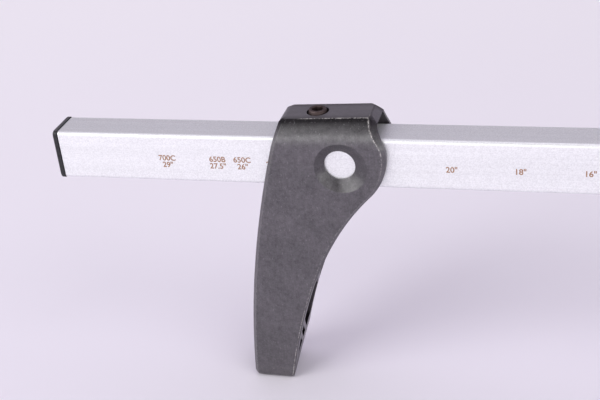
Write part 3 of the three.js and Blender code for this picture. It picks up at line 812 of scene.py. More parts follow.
def rings_of(
    height: Array, left: Array, right: Array, half: Array, cuts: Sequence[Array],
    deeps: Sequence[Array],
) -> Array:
    """Rings of a form whose plan is a rectangle with four cut and eased corners.

    Each side of the eased plan is divided at fixed shares of its length, close to its
    ends, so that wear painted on points stays narrow.

    Args:
        height: height of each ring.
        left: left edge of each ring.
        right: right edge of each ring.
        half: half depth of each ring.
        cuts: lengths along X of the left cuts, the front right one and the back right one.
        deeps: lengths along Y of the same three.

    Returns:
        Rings, shape (rings, count, 3).
    """
    left_cut, right_cut, back_cut = left + cuts[0], right - cuts[1], right - cuts[2]
    corners = (
        (left_cut, -half), (right_cut, -half), (right, -half + deeps[1]), (right, half - deeps[2]),
        (back_cut, half), (left_cut, half), (left, half - deeps[0]), (left, -half + deeps[0]),
    )
    plan = np.stack([np.stack(corner, -1) for corner in corners], axis=1)
    soft = filleted(plan, CUT_EASE, EDGE_STEPS, closed=True)
    soft = soft.reshape(len(height), len(corners), EDGE_STEPS + 1, 2)
    parts: list[Array] = []
    for corner in range(len(corners)):
        parts.append(soft[:, corner])
        shares = SHORT_SHARES if corner % 2 else LONG_SHARES
        start, end = soft[:, corner, -1], soft[:, (corner + 1) % len(corners), 0]
        parts.append(start[:, None] + (end - start)[:, None] * shares[:, None])
    return np.insert(np.concatenate(parts, axis=1), 2, height[:, None], axis=-1)


def paint_wear_and_highlight(piece: Solid, rings: Array, wear_and_highlight: Array) -> None:
    """Gives each vertex the wear and painted highlight of the form's point that it lies on, or
    none.

    Args:
        piece: the carved piece, in metres.
        rings: the form's points in millimetres.
        wear_and_highlight: the wear and painted edge highlight of each of them.
    """
    places = np.empty(len(piece.data.vertices) * 3)
    piece.data.vertices.foreach_get("co", places)
    spots, points = (
        np.round(found.reshape(-1, 3) * 50).astype(int).tolist() for found in (places / MM, rings)
    )
    known = {tuple(point): value for point, value in zip(points, wear_and_highlight.ravel())}
    values = np.array([known.get(tuple(spot), 0.0) for spot in spots], np.float32)
    piece.data.attributes.new("wear_and_highlight", "FLOAT", "POINT").data.foreach_set("value", values)


@dataclass
class Leg(Piece):
    """Moulded leg with its set screw; the right one is the left one turned round."""

    crown: Crown = field(default_factory=Crown)
    reach: float = 100.6
    rest: float = 210.1
    crown_out: float = 22.9
    tip_out: float = 44.9
    bow: float = 4.2
    tip_outer_corner: float = 3
    tip_inner_corner: float = 1.1
    collar_out: float = 13.9
    collar_height: float = 16.3
    belly_out: float = 17.2
    belly_height: float = 3.8
    belly_radius: float = 24
    belly_drop: float = 16.9
    end_bevel: float = 3.6
    tip_in: float = 27.9
    tip_slope: float = 0.18
    bevel_rise: float = 17
    bevel_across: float = 8.6
    bevel_wall: float = 3
    window_drop: float = 0.6
    window_mouth: float = 10.2
    window_hole: float = 5.95
    window_hole_out: float = 0.9
    window_cone: float = 2.6
    core_wall: float = 3.5
    core_top: float = -13.5
    core_bottom: float = -97.6
    core_half_depth: float = 7.5
    rib_thickness: float = 1.8
    rib_tilt: float = math.radians(47)
    rib_shares: tuple[float, ...] = (0.33, 0.46, 0.73, 0.797)
    screw_out: float = 9.6
    # Span along X of the pale crease line, part wear and part painted highlight.
    crease_wear_and_highlight: tuple[float, float] = (-13.7, 10.9)
    post_radius: float = 8
    nut_flats: float = 11
    nut_low: float = 12.55
    nut_high: float = 15.75
    past: float = 4

    def outer_edge(self, height: Array) -> Array:
        """Outer edge: a straight line from crown to tip plus the bow 4 b s (1 - s)."""
        share = (self.crown.top - height) / (self.crown.top + self.reach)
        straight = self.crown_out + (self.tip_out - self.crown_out) * share
        return -(straight + 4 * self.bow * share * (1 - share))

    def inner_edge(self, height: Array) -> Array:
        """Inner edge: a smooth step from collar to belly, an arc, a quadratic curve to the tip.

        The step is 3t^2 - 2t^3 of the share t of the height between belly and collar. The
        curve starts on the arc at belly_drop below its widest point, in the arc's
        direction, and ends at the tip with the slope tip_slope.
        """
        above = height - self.belly_height
        share = np.clip(above / (self.collar_height - self.belly_height), 0, 1)
        upper = self.belly_out - (self.belly_out - self.collar_out) * share**2 * (3 - 2 * share)
        side = self.belly_out - self.belly_radius
        lower = side + np.sqrt(np.maximum(self.belly_radius**2 - above**2, 0))
        run = math.sqrt(self.belly_radius**2 - self.belly_drop**2)
        start_x, start_z = side + run, self.belly_height - self.belly_drop
        end_x, end_z = -self.tip_in, -self.reach
        slope, lean = self.belly_drop / run, self.tip_slope
        bend_z = (end_x - start_x + slope * start_z - lean * end_z) / (slope - lean)
        bend_x = end_x + lean * (bend_z - end_z)
        square, linear = start_z - 2 * bend_z + end_z, start_z - bend_z
        inside = np.maximum(linear**2 - square * (start_z - height), 0)
        along_it = (linear - np.sqrt(inside)) / square
        curve = (
            (1 - along_it) ** 2 * start_x + 2 * along_it * (1 - along_it) * bend_x
            + along_it**2 * end_x
        )
        return np.where(above >= 0, upper, np.where(-above <= self.belly_drop, lower, curve))

    def build(self, side: Side) -> None:
        """Makes the leg and its fastening on one side."""
        self._moulding(side)
        self._screw(side)
        self._nut_and_shoe(side)

    def _rings(self) -> Array:
        """Rings of the outer form, from the tip to the crown.

        Over the crown's wall the inner end slopes back, and towards the tip the cut of
        the inner front edge grows thinner.
        """
        crown = self.crown
        near_tip = -self.reach + np.array([0, 0.12, 0.5, 0.95, 1.45, 2.0, 2.6, 3.2])
        limb = np.linspace(-self.reach + 4.2, crown.start, 92)
        height = np.concatenate([near_tip, limb, crown.heights()])
        half = crown.depth_at(height) - np.maximum(0, crown.chamfer - height - self.reach)
        height, half, drawn = crown.eased_top(height, half)
        outer, inner = (
            corner_inset(corner, height + self.reach)
            for corner in (self.tip_outer_corner, self.tip_inner_corner)
        )
        round_top = corner_inset(crown.corner, crown.top - height)
        left = self.outer_edge(height) + outer + round_top + drawn
        slope = np.clip((height - crown.top + crown.wall) / crown.wall, 0, 1)
        back = (crown.top_chamfer - 0.3) * slope
        right = self.inner_edge(height) - inner - drawn - back
        deep = np.full_like(height, crown.chamfer)
        thinner = np.interp(height, [-62, -35], [0.4, 1.0])
        cuts = (
            deep,
            crown.cut_at(height, crown.top_chamfer) * thinner - back,
            crown.cut_at(height, crown.back_chamfer) - back,
        )
        deeps = (deep, crown.cut_at(height, self.end_bevel) * thinner, deep)
        return crown.lean(rings_of(height, left, right, half, cuts, deeps), self.collar_out)

    def _moulding(self, side: Side) -> None:
        """Outer form, then every hollow cut out of it."""
        crown, out = self.crown, -self.screw_out
        rings = self._rings()
        body = skin(f"{side.word}_leg_shell", rings)
        post = shift(drill(self.post_radius, 0, crown.top), x=out)
        hollow, tunnel = crown.inside(self.tip_out + self.past, post)
        pocket = shift(prism("pocket", self.nut_flats + 0.5, 0, crown.top - 2.6), x=out)
        hole = turned("hole", [(4.4, 0), (4.25, 17.0), (4.25, 18.0), (4.3, 21)], 0, 64)
        carve(body, self._bevel(), hollow, tunnel, pocket, shift(hole, x=out))
        carve(body, self._window(1), self._window(-1))
        carve(body, *[carve(pocket, self._bevel(self.bevel_wall)) for pocket in self._pockets()])
        paint_wear_and_highlight(body, rings, self._wear_and_highlight(rings))
        shift(body, x=-self.rest)
        name = f"{side.word}_leg"
        self.settle(body, name, name, name, slot="black_moulding", side=side, sharp=24)

    def _wear_and_highlight(self, rings: Array) -> Array:
        """Wear and painted highlight of each ring point: a thin line on the crease and down the
        collar's edge.

        Args:
            rings: the form's rings.

        Returns:
            Wear and painted highlight from 0 to 1, shape (rings, count).
        """
        wear_and_highlight = np.zeros(rings.shape[:2])
        height = rings[:, 0, 2]
        edge = np.array([0.25, 1.0, 1.0, 0.25])
        fading = np.interp(height, [-100, -60, -8, 4, 9, 17], [0.6, 0.45, 0.12, 0.45, 1.0, 0.9])
        faint = np.interp(height, [-100, -40, 8, 14], [0.25, 0.1, 0.12, 0.0])
        back_end = 2 * (SIDE_POINTS + CUT_POINTS)
        for start, strength in (
            (SIDE_POINTS, fading), (back_end, 0.6 * fading), (0, faint),
            (back_end + SIDE_POINTS, faint),
        ):
            wear_and_highlight[:, start : start + EDGE_STEPS + 1] = strength[:, None] * edge
        # The pale crease line, part wear and part painted highlight, stronger in front.
        x, y = rings[-3, :, 0], rings[-3, :, 1]
        low, high = self.crease_wear_and_highlight
        along_it = np.clip((x - low + 1.5) / 1.5, 0, 1) * np.clip((high + 0.3 - x) / 0.3, 0, 1)
        crease = along_it * np.where(y < 0, 0.8, 0.4) * np.array([[0.4], [1.0], [0.4]])
        wear_and_highlight[-4:-1] = np.maximum(wear_and_highlight[-4:-1] * 0.5, crease)
        wear_and_highlight[-1] = 0
        return wear_and_highlight

    def _bevel(self, inset: float = 0) -> Solid:
        """Cutter of the tip's inner back corner: a block beyond the plane of three points.

        Args:
            inset: how far further in the block starts, where it leaves the bevel's wall.
        """
        deep = self.crown.half_depth - self.crown.chamfer
        top_height = -self.reach + self.bevel_rise
        front = np.array([-self.tip_in - self.tip_inner_corner, -deep, -self.reach])
        back = front + [-self.bevel_across, 2 * deep, 0]
        top = np.array([float(self.inner_edge(np.array(top_height))), deep, top_height])
        normal = Vector(np.cross(top - back, front - back))
        block = skin("bevel", along(2, rectangle(90, 90, 1, 1), [-inset, 60]))
        return shift(block, *front, turn=normal.to_track_quat("Z", "Y").to_matrix().to_4x4())

    def _window(self, facing: int) -> Solid:
        """Cutter of a window: a bore to the bar and a slanting cone with an eased mouth.

        Ring k is the circle (x_k + r_k cos a, y_k, r_k sin a); the bore's rings stand
        further out than the mouth's.

        Args:
            facing: 1 for the front face, -1 for the back.
        """
        face = self.crown.half_depth
        floor = face - self.window_cone
        hole, mouth, out = self.window_hole, self.window_mouth, -self.window_hole_out
        radius, depth, across = np.array([
            (hole, 6, out), (hole, floor - 0.3, out), (hole + 0.05, floor - 0.1, out),
            (hole + 0.25, floor + 0.08, out), (mouth - 0.12, face - 0.08, 0),
            (mouth, face - 0.02, 0), (mouth + 0.05, face, 0), (mouth + 0.5, face + 3, 0),
        ]).T[:, :, None]
        rings = spun(radius, -facing * depth, 96)[..., [0, 2, 1]]
        rings[..., 0] += across
        rings[..., 2] -= self.window_drop
        return skin("window", rings)

    def _pockets(self) -> list[Solid]:
        """Cutters of the core, one between each pair of ribs.

        A rib's mid-plane is z = -reach * share - tan(tilt) (y + d), with d the core's
        half depth. A pocket is a grid in y and in height between two such planes, from
        the outer wall out past the inner edge.
        """
        y = np.linspace(-self.core_half_depth, self.core_half_depth, 9)
        slack = self.rib_thickness / 2 / math.cos(self.rib_tilt)
        drop = math.tan(self.rib_tilt) * (y + self.core_half_depth)
        ribs = [-self.reach * share - drop for share in self.rib_shares]
        roofs = [np.full_like(y, self.core_top), *[rib - slack for rib in ribs]]
        floors = [*[rib + slack for rib in ribs], np.full_like(y, self.core_bottom)]
        share = np.linspace(0, 1, 25)[:, None]
        made = []
        for roof, floor in zip(roofs, floors):
            roof = np.minimum(roof, self.core_top)
            floor = np.maximum(floor, self.core_bottom)
            keep = roof - floor > 0.05
            if keep.sum() < 2:
                continue
            z = floor[keep] + share * (roof - floor)[keep]
            across = np.broadcast_to(y[keep], z.shape)
            wall = np.stack([self.outer_edge(z) + self.core_wall, across, z], -1)
            mouth = np.stack([np.full_like(z, self.belly_out + self.past), across, z], -1)[:, ::-1]
            made.append(skin("pocket", np.concatenate([wall, mouth], axis=1)))
        return made

    def _screw(self, side: Side) -> None:
        """Headless screw: chamfered ends and a hexagon socket with a drilled bottom."""
        profile = [
            (2.2, 12.3), (3.2, 12.3), (3.75, 12.9), *ridges(4, 0.25, 13.2, 16.6, 18),
            (3.6, 17), (3.35, 18.4), (3.15, 18.9), (2.5, 18.9),
        ]
        screw = turned(f"{side.word}_screw", profile, 0.08, 64)
        socket = prism("socket", 4, 15.4, 20)
        lead = turned("lead", [(1.9, 18.4), (2.55, 19.1)], 0, 48)
        point = turned("point", [(0.05, 14.4), (1.95, 15.45)], 0, 32)
        carve(screw, socket, lead, point)
        shift(screw, x=-self.screw_out - self.rest)
        body = f"{side.word}_screw"
        self.settle(screw, "black_oxide", body, f"{side.word}_set_screw", side=side)

    def _nut_and_shoe(self, side: Side) -> None:
        """Thin nut under the crown, chamfered at its corners, and the disc under the screw."""
        low, high, corner = self.nut_low, self.nut_high, self.nut_flats / math.sqrt(3)
        nut = prism(f"{side.word}_nut", self.nut_flats, low, high)
        ends = [(5.4, low), (corner, low + 0.45), (corner, high - 0.45), (5.4, high)]
        carve(nut, turned("round_off", ends, 0.05, 64), action="INTERSECT")
        thread = ridges(4.25, -0.3, 12.9, 15.4, 9)
        bore = [(4.6, 12), (4.6, low), *thread, (4.6, high), (4.6, 17)]
        carve(nut, turned("bore", bore, 0, 48))
        disc = [(4.4, 10.25), (4.8, 10.6), (4.8, 11.7), (4.4, 12.05)]
        shoe = turned(f"{side.word}_shoe", disc, 0.2, 48)
        for piece, finish, node in (
            (nut, "zinc_plate", "leg_nut"), (shoe, "natural_nylon", "friction_shoe")
        ):
            shift(piece, x=-self.screw_out - self.rest)
            self.settle(piece, finish, f"{side.word}_leg", f"{side.word}_{node}", side=side)


@dataclass
class Housing(Piece):
    """Centre housing with its two bushes and the screws that hold it on the bar."""

    crown: Crown = field(default_factory=Crown)
    half_top: float = 19
    half_belly: float = 22
    half_foot: float = 11
    waist: float = -13.5
    bottom: float = -18
    foot_half_depth: float = 9
    foot_chamfer: float = 2.5
    boss_radius: float = 9
    boss_face: float = 17
    post_radius: float = 9.8
    past: float = 4
    bush_seat: float = 6.55

    def build(self) -> None:
        """Makes the housing, the bushes and the screws."""
        self._moulding()
        self._bush("upper", self.crown.top)
        self._bush("lower", -self.bottom)
        for side in Side:
            screw = button_screw(f"{side.word}_screw", 2, 8)
            across, back = side.value * SCREW_SPREAD, self.crown.half_depth + 0.25
            shift(screw, x=across, y=back, turn=TO_BACK)
            self.settle(screw, "black_oxide", "frame", f"{side.word}_housing_screw")

    def _bottom_cut(self, height: Array) -> Array:
        """How far the chamfer round the bottom draws the faces in."""
        return np.maximum(0, self.foot_chamfer - (height - self.bottom))

    def _rings(self) -> Array:
        """Rings of the outer form: it narrows with the square of the height, both ways."""
        crown = self.crown
        foot = self.bottom + np.array([0, 0.3, 0.8, 1.4, 2.0, 2.5, 3.2])
        limb = np.linspace(self.waist, crown.start, 40)
        height = np.concatenate([foot, limb, crown.heights()])
        loss = (crown.half_depth - self.foot_half_depth) * np.maximum(0, self.waist - height)
        half = crown.depth_at(height) - self._bottom_cut(height) - loss / (self.waist - self.bottom)
        height, half, drawn = crown.eased_top(height, half)
        raised = np.maximum(0, height) / crown.top
        lowered = np.clip(height / self.waist, 0, 1)
        reach = (
            self.half_belly - (self.half_belly - self.half_top) * raised**2
            - (self.half_belly - self.half_foot) * lowered**2
            - corner_inset(crown.corner, crown.top - height) - self._bottom_cut(height) - drawn
        )
        cuts = [crown.cut_at(height, crown.top_chamfer)] * 3
        deeps = [np.full_like(height, crown.chamfer)] * 3
        return rings_of(height, -reach, reach, half, cuts, deeps)

    def _moulding(self) -> None:
        """Outer form, the front boss joined on, then the hollows."""
        rings, top, bottom = self._rings(), self.crown.top, self.bottom
        body = skin("housing_shell", rings)
        rise = [(12.4, 7.8), (12.4, 11.0), (self.boss_radius, 11.6), (self.boss_radius, 16)]
        boss = turned("boss", [*rise, (8, self.boss_face)], 0.9, 96)
        carve(body, shift(boss, turn=TO_READER), action="UNION")
        post = drill(self.post_radius, 0, top, 64)
        hollow, tunnel = self.crown.inside(self.half_belly + self.past, post)
        wide, narrow = self.bush_seat + 0.3, self.bush_seat
        seat = turned("seat", [
            (wide, bottom - 3), (wide, bottom), (narrow, bottom + 0.3),
            (narrow, top - 0.3), (wide, top), (wide, top + 3),
        ], 0, 64)
        insert = turned("insert", [(5, 0), (5, 16.7), (5.3, 17), (5.3, 20)], 0, 64)
        carve(body, tunnel, hollow, seat)
        holes = screw_holes(self.crown.half_depth + 3)
        carve(body, shift(insert, turn=TO_READER), *holes)
        # Pale edge lines on the front corners and the crease, part wear and part painted highlight.
        wear_and_highlight = np.zeros(rings.shape[:2])
        for start in (0, SIDE_POINTS):
            wear_and_highlight[:, start : start + EDGE_STEPS + 1] = [0.06, 0.28, 0.28, 0.06]
        wear_and_highlight[-4:-1] = np.maximum(wear_and_highlight[-4:-1], [[0.2], [0.55], [0.2]])
        paint_wear_and_highlight(body, rings, wear_and_highlight)
        self.settle(body, "black_moulding", "frame", "centre_housing")

    def _bush(self, place: str, top: float) -> None:
        """Flanged brass bush above the housing's face, turned over for the lower one."""
        profile = [
            (4.3, top - 7), (5.9, top - 7), (6.3, top - 6.5), (6.3, top + 0.25),
            (7.8, top + 0.25), (7.8, top + 1.45), (4.6, top + 1.45), (4.3, top + 1.15),
        ]
        bush = turned(f"{place}_bush", profile, 0.15, 72, looped=True)
        if place == "lower":
            shift(bush, turn=HEAD_DOWN)
        self.settle(bush, "brass", "frame", f"{place}_rod_bush")


def button_screw(name: str, radius: float, length: float) -> Solid:
    """Round-headed socket screw that points down from height 0, with a cut thread."""
    thread = ridges(radius, 0.1 * radius, -length + 0.5, -1.2, int(length * 2.2))
    bend = np.linspace(0, np.pi / 2, 8)
    dome = [(2.5 + 1.1 * math.cos(turn), 1.1 + 1.1 * math.sin(turn)) for turn in bend]
    profile = [
        (radius * 0.8, -length), *thread, (radius * 0.95, -0.6), (radius, 0), (3.6, 0), *dome,
        (1.9, 2.2),
    ]
    screw = turned(name, profile, 0.06, 64)
    lead = turned("lead", [(1.2, 1.95), (1.65, 2.4)], 0, 48)
    return carve(screw, prism("socket", 2.5, 0.8, 4), lead)


@dataclass
class Probe(Piece):
    """Rod with its cupped foot below and its grip above."""

    radius: float = 4
    low: float = -47.75
    high: float = 53.25
    foot_low: float = -60
    foot_high: float = -40
    grip_low: float = 44.5
    grip_high: float = 59.5
    grip_radius: float = 8.5
    grip_waist: float = 6.6
    flutes: int = 18
    flute_depth: float = 0.3

    def build(self) -> None:
        """Makes the rod, the foot and the grip with their screws."""
        self._rod()
        self._foot()
        self._grip()

    def _rod(self) -> None:
        """Rod with chamfered ends and a threaded hole in its top."""
        r, low, high = self.radius, self.low, self.high
        ends = [(r - 0.6, low), (r, low + 0.6), (r, high - 0.6), (r - 0.6, high)]
        rod = carve(turned("rod", ends, 0.1, 72), drill(CLEAR_HOLE, high - 12, high + 1, 32))
        self.settle(rod, "ground_steel", "probe", "probe_rod")

    def _foot(self) -> None:
        """Turned cup: a rim that stands on the hub, a cone, a neck and a groove round it."""
        low, high = self.foot_low, self.foot_high
        shelf = low + 12
        profile = [
            (5.6, low), (9.4, low), (10, low + 0.6), (10, low + 3.4), (9.7, low + 3.7),
            (9.7, low + 4.3), (10, low + 4.6), (10, low + 8), (7.5, shelf), (7.5, high - 0.6),
            (6.9, high), (4.5, high), (4.25, high - 0.25), (4.25, shelf), (3.4, shelf),
            (3.4, shelf - 0.6), (5.6, shelf - 0.6),
        ]
        foot = turned("foot", profile, 0.12, 96, looped=True)
        hole = turned("hole", [(2.25, 0), (2.25, 7.2), (2.6, 7.6), (2.6, 10)], 0, 40)
        carve(foot, shift(hole, z=high - 4, turn=TO_READER))
        self.settle(foot, "ground_steel", "probe", "probe_foot")
        profile = [(1.3, 4.25), (1.9, 4.9), (2, 5.2), (2, 6.8), (1.4, 7.5), (1.3, 7.5)]
        screw = carve(turned("foot_screw", profile, 0.05, 40), prism("socket", 2, 5.9, 8))
        shift(screw, z=high - 4, turn=TO_READER)
        self.settle(screw, "black_oxide", "probe", "probe_foot_screw")

    def _grip(self) -> None:
        """Waisted grip with shallow flutes round its waist, and the screw in its top.

        Radius at share s of the height and angle a: the waist takes
        (R - W) sin(pi s)^2 off, and the flutes take depth (0.5 - 0.5 cos(n a)) sin(pi s).
        """
        ease, steps = 0.8, 144
        low, high = self.grip_low, self.grip_high
        share = np.linspace(0, 1, 33)[:, None]
        bulge = np.sin(np.pi * share)
        flute = self.flute_depth * (0.5 - 0.5 * np.cos(self.flutes * angles(steps))) * bulge
        reach = self.grip_radius - (self.grip_radius - self.grip_waist) * bulge**2 - flute
        height = low + ease + (high - low - 2 * ease) * share
        bend = np.linspace(0, np.pi / 2, 5)[:, None]
        inner = self.grip_radius - ease
        foot_r, foot_h = inner + ease * np.sin(bend), low + ease * (1 - np.cos(bend))
        head_r, head_h = foot_r[::-1], high - (foot_h[::-1] - low)
        bore_r = np.array([CLEAR_HOLE, CLEAR_HOLE, 4.25, 4.25])[:, None]
        bore_h = np.array([high, low + 9, low + 9, low])[:, None]
        radius = np.concatenate([
            np.broadcast_to(part, (len(part), steps))
            for part in (foot_r[:-1], reach, head_r[1:], bore_r)
        ])
        level = np.concatenate([foot_h[:-1], height, head_h[1:], bore_h])
        grip = skin("grip", spun(radius, level, steps), looped=True)
        self.settle(grip, "black_moulding", "probe", "probe_grip")
        screw = shift(button_screw("grip_screw", 2, 12), z=high + 0.25)
        self.settle(screw, "black_oxide", "probe", "probe_grip_screw")


@dataclass
class Clamp(Piece):
    """Lobed knob with its stud, the insert in the housing and the pad on the rod."""

    rim: float = 10.4
    lobe: float = 1.1
    lobes: int = 7
    hub_face: float = 17.8
    back: float = 21.8
    face: float = 30.8
    edge: float = 1.5
    stud_end: float = 26.8
    pad_back: float = 4.25
    pad_front: float = 6.25

    def build(self) -> None:
        """Makes the four pieces, each about Z and then turned to the reader."""
        back, front = self.pad_back, self.pad_front
        pad = [(2.5, back), (2.8, back + 0.3), (2.8, front - 0.3), (2.5, front)]
        thread = ridges(3, 0.3, 7.2, 17.4, 28)
        stud = [(2.5, 6.5), (2.9, 6.9), *thread, (3, 17.7), (3, 26.3), (2.5, self.stud_end)]
        insert = [
            (3.25, 7.8), (4.75, 7.8), (4.75, 10.07), (4.4, 10.07), (4.4, 11.27), (4.75, 11.27),
            (4.75, 13.53), (4.4, 13.53), (4.4, 14.73), (4.75, 14.73), (4.75, 17), (3.6, 17),
            (3.25, 16.6),
        ]
        for piece, finish, body, node in (
            (self._knob(), "black_moulding", "thumb_screw", "thumb_knob"),
            (turned("stud", stud, 0.05, 64), "zinc_plate", "thumb_screw", "thumb_stud"),
            (turned("insert", insert, 0.08, 64, looped=True), "brass", "frame", "thumb_insert"),
            (turned("pad", pad, 0.12, 48), "brass", "clamp_pad", "clamp_pad"),
        ):
            self.settle(shift(piece, turn=TO_READER), finish, body, node)

    def _knob(self) -> Solid:
        """Knob: rings of radius r + w cos(n a), with w the lobes' share at each station."""
        rim, edge, hub, back, face = self.rim, self.edge, self.hub_face, self.back, self.face
        bend = np.linspace(0, np.pi / 2, 7)
        back_edge = [
            (rim - edge * (1 - math.sin(t)), back + edge * (1 - math.cos(t)), 1) for t in bend
        ]
        front_edge = [(r, back + face - h, w) for r, h, w in back_edge[::-1]]
        radius, height, share = np.array([
            (7.1, hub, 0), (7.4, hub + 0.1, 0), (7.5, hub + 0.4, 0), (7.5, back - 0.5, 0),
            (7.6, back - 0.15, 0), (7.9, back, 0.1), *back_edge, (rim, (back + face) / 2, 1),
            *front_edge, (6.5, face, 0.1), (6.15, face - 0.06, 0), (6, face - 0.25, 0),
            (6, face - 0.8, 0), (5.8, face - 0.96, 0), (5.4, face - 1, 0), (3, face - 1, 0),
        ]).T[:, :, None]
        steps = 210
        radius = radius + self.lobe * share * np.cos(self.lobes * angles(steps))
        knob = skin("knob", spun(radius, height, steps))
        return carve(knob, drill(3.25, hub - 3, self.stud_end + 0.25))


@dataclass
class Studio:
    """Camera, lights, floor and world."""

    eye: tuple[float, float, float] = (-114.33, -366.43, 292.87)
    yaw: float = -0.300
    pitch: float = 0.497
    roll: float = -0.108
    focal_pixels: float = 1140.05
    frame_width: float = 600
    sensor: float = 36
    aim: tuple[float, float, float] = (-0.1, 0.0, 0.05)
    key_place: tuple[float, float, float] = (-1.85, -1.65, 1.65)
    key_size: tuple[float, float] = (1.8, 1.3)
    key_power: float = 37.0
    fill_place: tuple[float, float, float] = (3.5, -3.2, 6.0)
    fill_size: tuple[float, float] = (4.5, 4.5)
    fill_power: float = 150.0
    tint: Colour = (0.995, 0.985, 1.0)
    back_tint: Colour = (0.9, 0.83, 1.0)
    front_sky: tuple[tuple[float, float], ...] = (
        (-1.0, 0.5), (-0.06, 0.9), (0.0, 2.2), (0.23, 2.4), (0.36, 0.5), (0.46, 0.05),
        (0.9, 0.05), (1.0, 0.7),
    )
    back_sky: tuple[tuple[float, float], ...] = (
        (-1.0, 0.5), (-0.06, 0.9), (0.0, 0.9), (0.16, 0.65), (0.32, 0.27), (0.55, 0.24),
        (0.74, 0.35), (0.86, 1.6),
    )
    # The far floor colour is lighter than the near one: painted light.
    near_floor: Colour = (0.845, 0.806, 0.884)
    far_floor: Colour = (0.985, 0.952, 0.99)
    floor_reach: float = 12.0

    def build(self) -> None:
        """Makes the whole studio."""
        bpy.context.scene.view_settings.view_transform = "Standard"
        self._camera()
        self._floor()
        self._world()
        self._lamp("key", self.key_place, self.key_size, self.key_power)
        self._lamp("fill", self.fill_place, self.fill_size, self.fill_power)

    def _camera(self) -> None:
        """Camera from the fitted yaw, pitch and roll."""
        ahead = Vector((
            math.sin(self.yaw) * math.cos(self.pitch),
            math.cos(self.yaw) * math.cos(self.pitch),
            -math.sin(self.pitch),
        ))
        flat_right = Vector((math.cos(self.yaw), -math.sin(self.yaw), 0))
        flat_up = flat_right.cross(ahead)
        right = flat_right * math.cos(self.roll) + flat_up * math.sin(self.roll)
        up = -flat_right * math.sin(self.roll) + flat_up * math.cos(self.roll)
        lens = bpy.data.cameras.new("camera")
        lens.sensor_width = self.sensor
        lens.lens = self.focal_pixels * self.sensor / self.frame_width
        lens.clip_start, lens.clip_end = 0.01, 100
        camera = linked("camera", lens)
        turn = Matrix((right, up, -ahead)).transposed().to_4x4()
        camera.matrix_world = Matrix.Translation(Vector(self.eye) * MM) @ turn
        bpy.context.scene.camera = camera

    def _floor(self) -> None:
        """Wide pale floor whose colour grows lighter away from the reader, as painted light."""
        line = np.linspace(-1, 1, 25) * self.floor_reach
        x, y = np.meshgrid(line, line, indexing="ij")
        points = np.stack([x, y, np.zeros_like(x)], -1).reshape(-1, 3)
        index = np.arange(x.size).reshape(x.shape)
        quads = np.stack([index[:-1, :-1], index[1:, :-1], index[1:, 1:], index[:-1, 1:]], -1)
        mesh = bpy.data.meshes.new("floor")
        mesh.from_pydata(points.tolist(), [], quads.reshape(-1, 4).tolist())
        floor = linked("floor", mesh)
        graph = Graph("pale_paper")
        # Painted light: the floor grows lighter away from the reader.
        far = graph.remap(graph.add("SeparateXYZ", {0: graph.place}).outputs[1], -0.1, 0.6)
        mesh.materials.append(graph.feed({
            "Base Color": graph.mix(far, self.near_floor, self.far_floor),
            "Roughness": 0.8,
            "Specular IOR Level": 0.2,
            "Normal": graph.bump(graph.noise(1.2, 3), 0.02),
        }))

    def _world(self) -> None:
        """World whose radiance follows height, in one way in front and in another behind.

        Both are bright at the horizon and darker above it, as in a room with a pale
        backdrop, and the blend between them is a smooth step of the direction's Y.
        """
        world = bpy.data.worlds.new("studio")
        bpy.context.scene.world = world
        world.use_nodes = True
        nodes = Nodes(world.node_tree)
        way = nodes.add("TexCoord", {}).outputs["Generated"]
        parts = nodes.add("SeparateXYZ", {0: way}).outputs
        lift = nodes.remap(parts[2], -1.0, 1.0)
        inputs = {0: parts[1], 1: -0.25, 2: 0.35}
        turn = nodes.add("MapRange", inputs, interpolation_type="SMOOTHSTEP").outputs[0]
        skies = []
        for stops, tint in ((self.front_sky, self.tint), (self.back_sky, self.back_tint)):
            ramp = nodes.add("ValToRGB", {0: lift})
            marks = ramp.color_ramp.elements
            while len(marks) < len(stops):
                marks.new(0.5)
            for mark, (height, level) in zip(marks, stops):
                mark.position = (height + 1) / 2
                mark.color = (*(level * channel for channel in tint), 1)
            skies.append(ramp.outputs[0])
        nodes.join(nodes.mix(turn, *skies), nodes.tree.nodes["Background"].inputs["Color"])

    def _lamp(
        self, name: str, place: Sequence[float], size: Sequence[float], power: float
    ) -> None:
        """Rectangular soft lamp that faces the object."""
        data = bpy.data.lights.new(name, "AREA")
        data.shape = "RECTANGLE"
        data.size, data.size_y = size
        data.energy = power
        data.color = self.tint
        lamp = linked(name, data)
        lamp.location = place
        away = Vector(place) - Vector(self.aim)
        lamp.rotation_euler = away.to_track_quat("Z", "Y").to_euler()


def finishes(middle: Array) -> dict[str, Material]:
    """Builds every finish once.

    Args:
        middle: the bar's middle in the model's frame, in millimetres.

    Returns:
        Materials by name.
    """
    windows = {
        side: middle + [side.value * Leg.rest, 0, -Leg.window_drop] for side in Side
    }
    made = [
        Moulding(),
        *[Moulding(f"{side.word}_leg", window=at) for side, at in windows.items()],
        Moulding("black_cap", (0.014, 0.014, 0.016), roughness=0.42, shine=0.3),
        Blasted(),
        SizeMark(),
        Turned("zinc_plate", (0.62, 0.64, 0.67)),
        Turned("black_oxide", (0.07, 0.048, 0.046), 0.45, 0.6),
        Turned("brass", (0.72, 0.52, 0.22)),
        Turned("ground_steel", (0.6, 0.61, 0.63), 0.2),
        Turned("natural_nylon", (0.76, 0.74, 0.66), 0.5, 0.0),
    ]
    return {finish.name: finish.build() for finish in made}


def dress(nodes: dict[str, Solid], record: dict, made: dict[str, Material]) -> None:
    """Gives each CAD node that stays the finish of its slot."""
    for part in record["subparts"]:
        node = nodes[part["node"]]
        node.data.materials.clear()
        node.data.materials.append(made[part["material_slot"]])


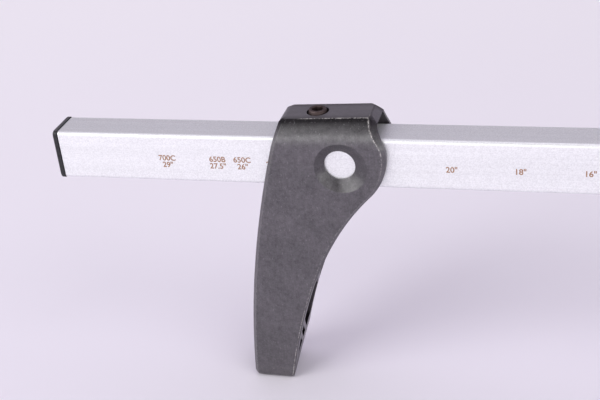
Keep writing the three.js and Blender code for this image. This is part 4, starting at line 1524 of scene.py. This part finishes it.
def main() -> None:
    logging.basicConfig(level=logging.INFO, format="%(message)s")
    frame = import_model()
    low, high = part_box("bar_tube")
    middle = np.array((low + high) / 2) / MM
    made = finishes(middle)
    dress(frame["nodes"], frame["record"], made)
    Bar(middle, made).build()
    for side in Side:
        Leg(middle, made).build(side)
    Housing(middle, made).build()
    Probe(middle, made).build()
    Clamp(middle, made).build()
    Studio().build()


if __name__ == "__main__":
    main()
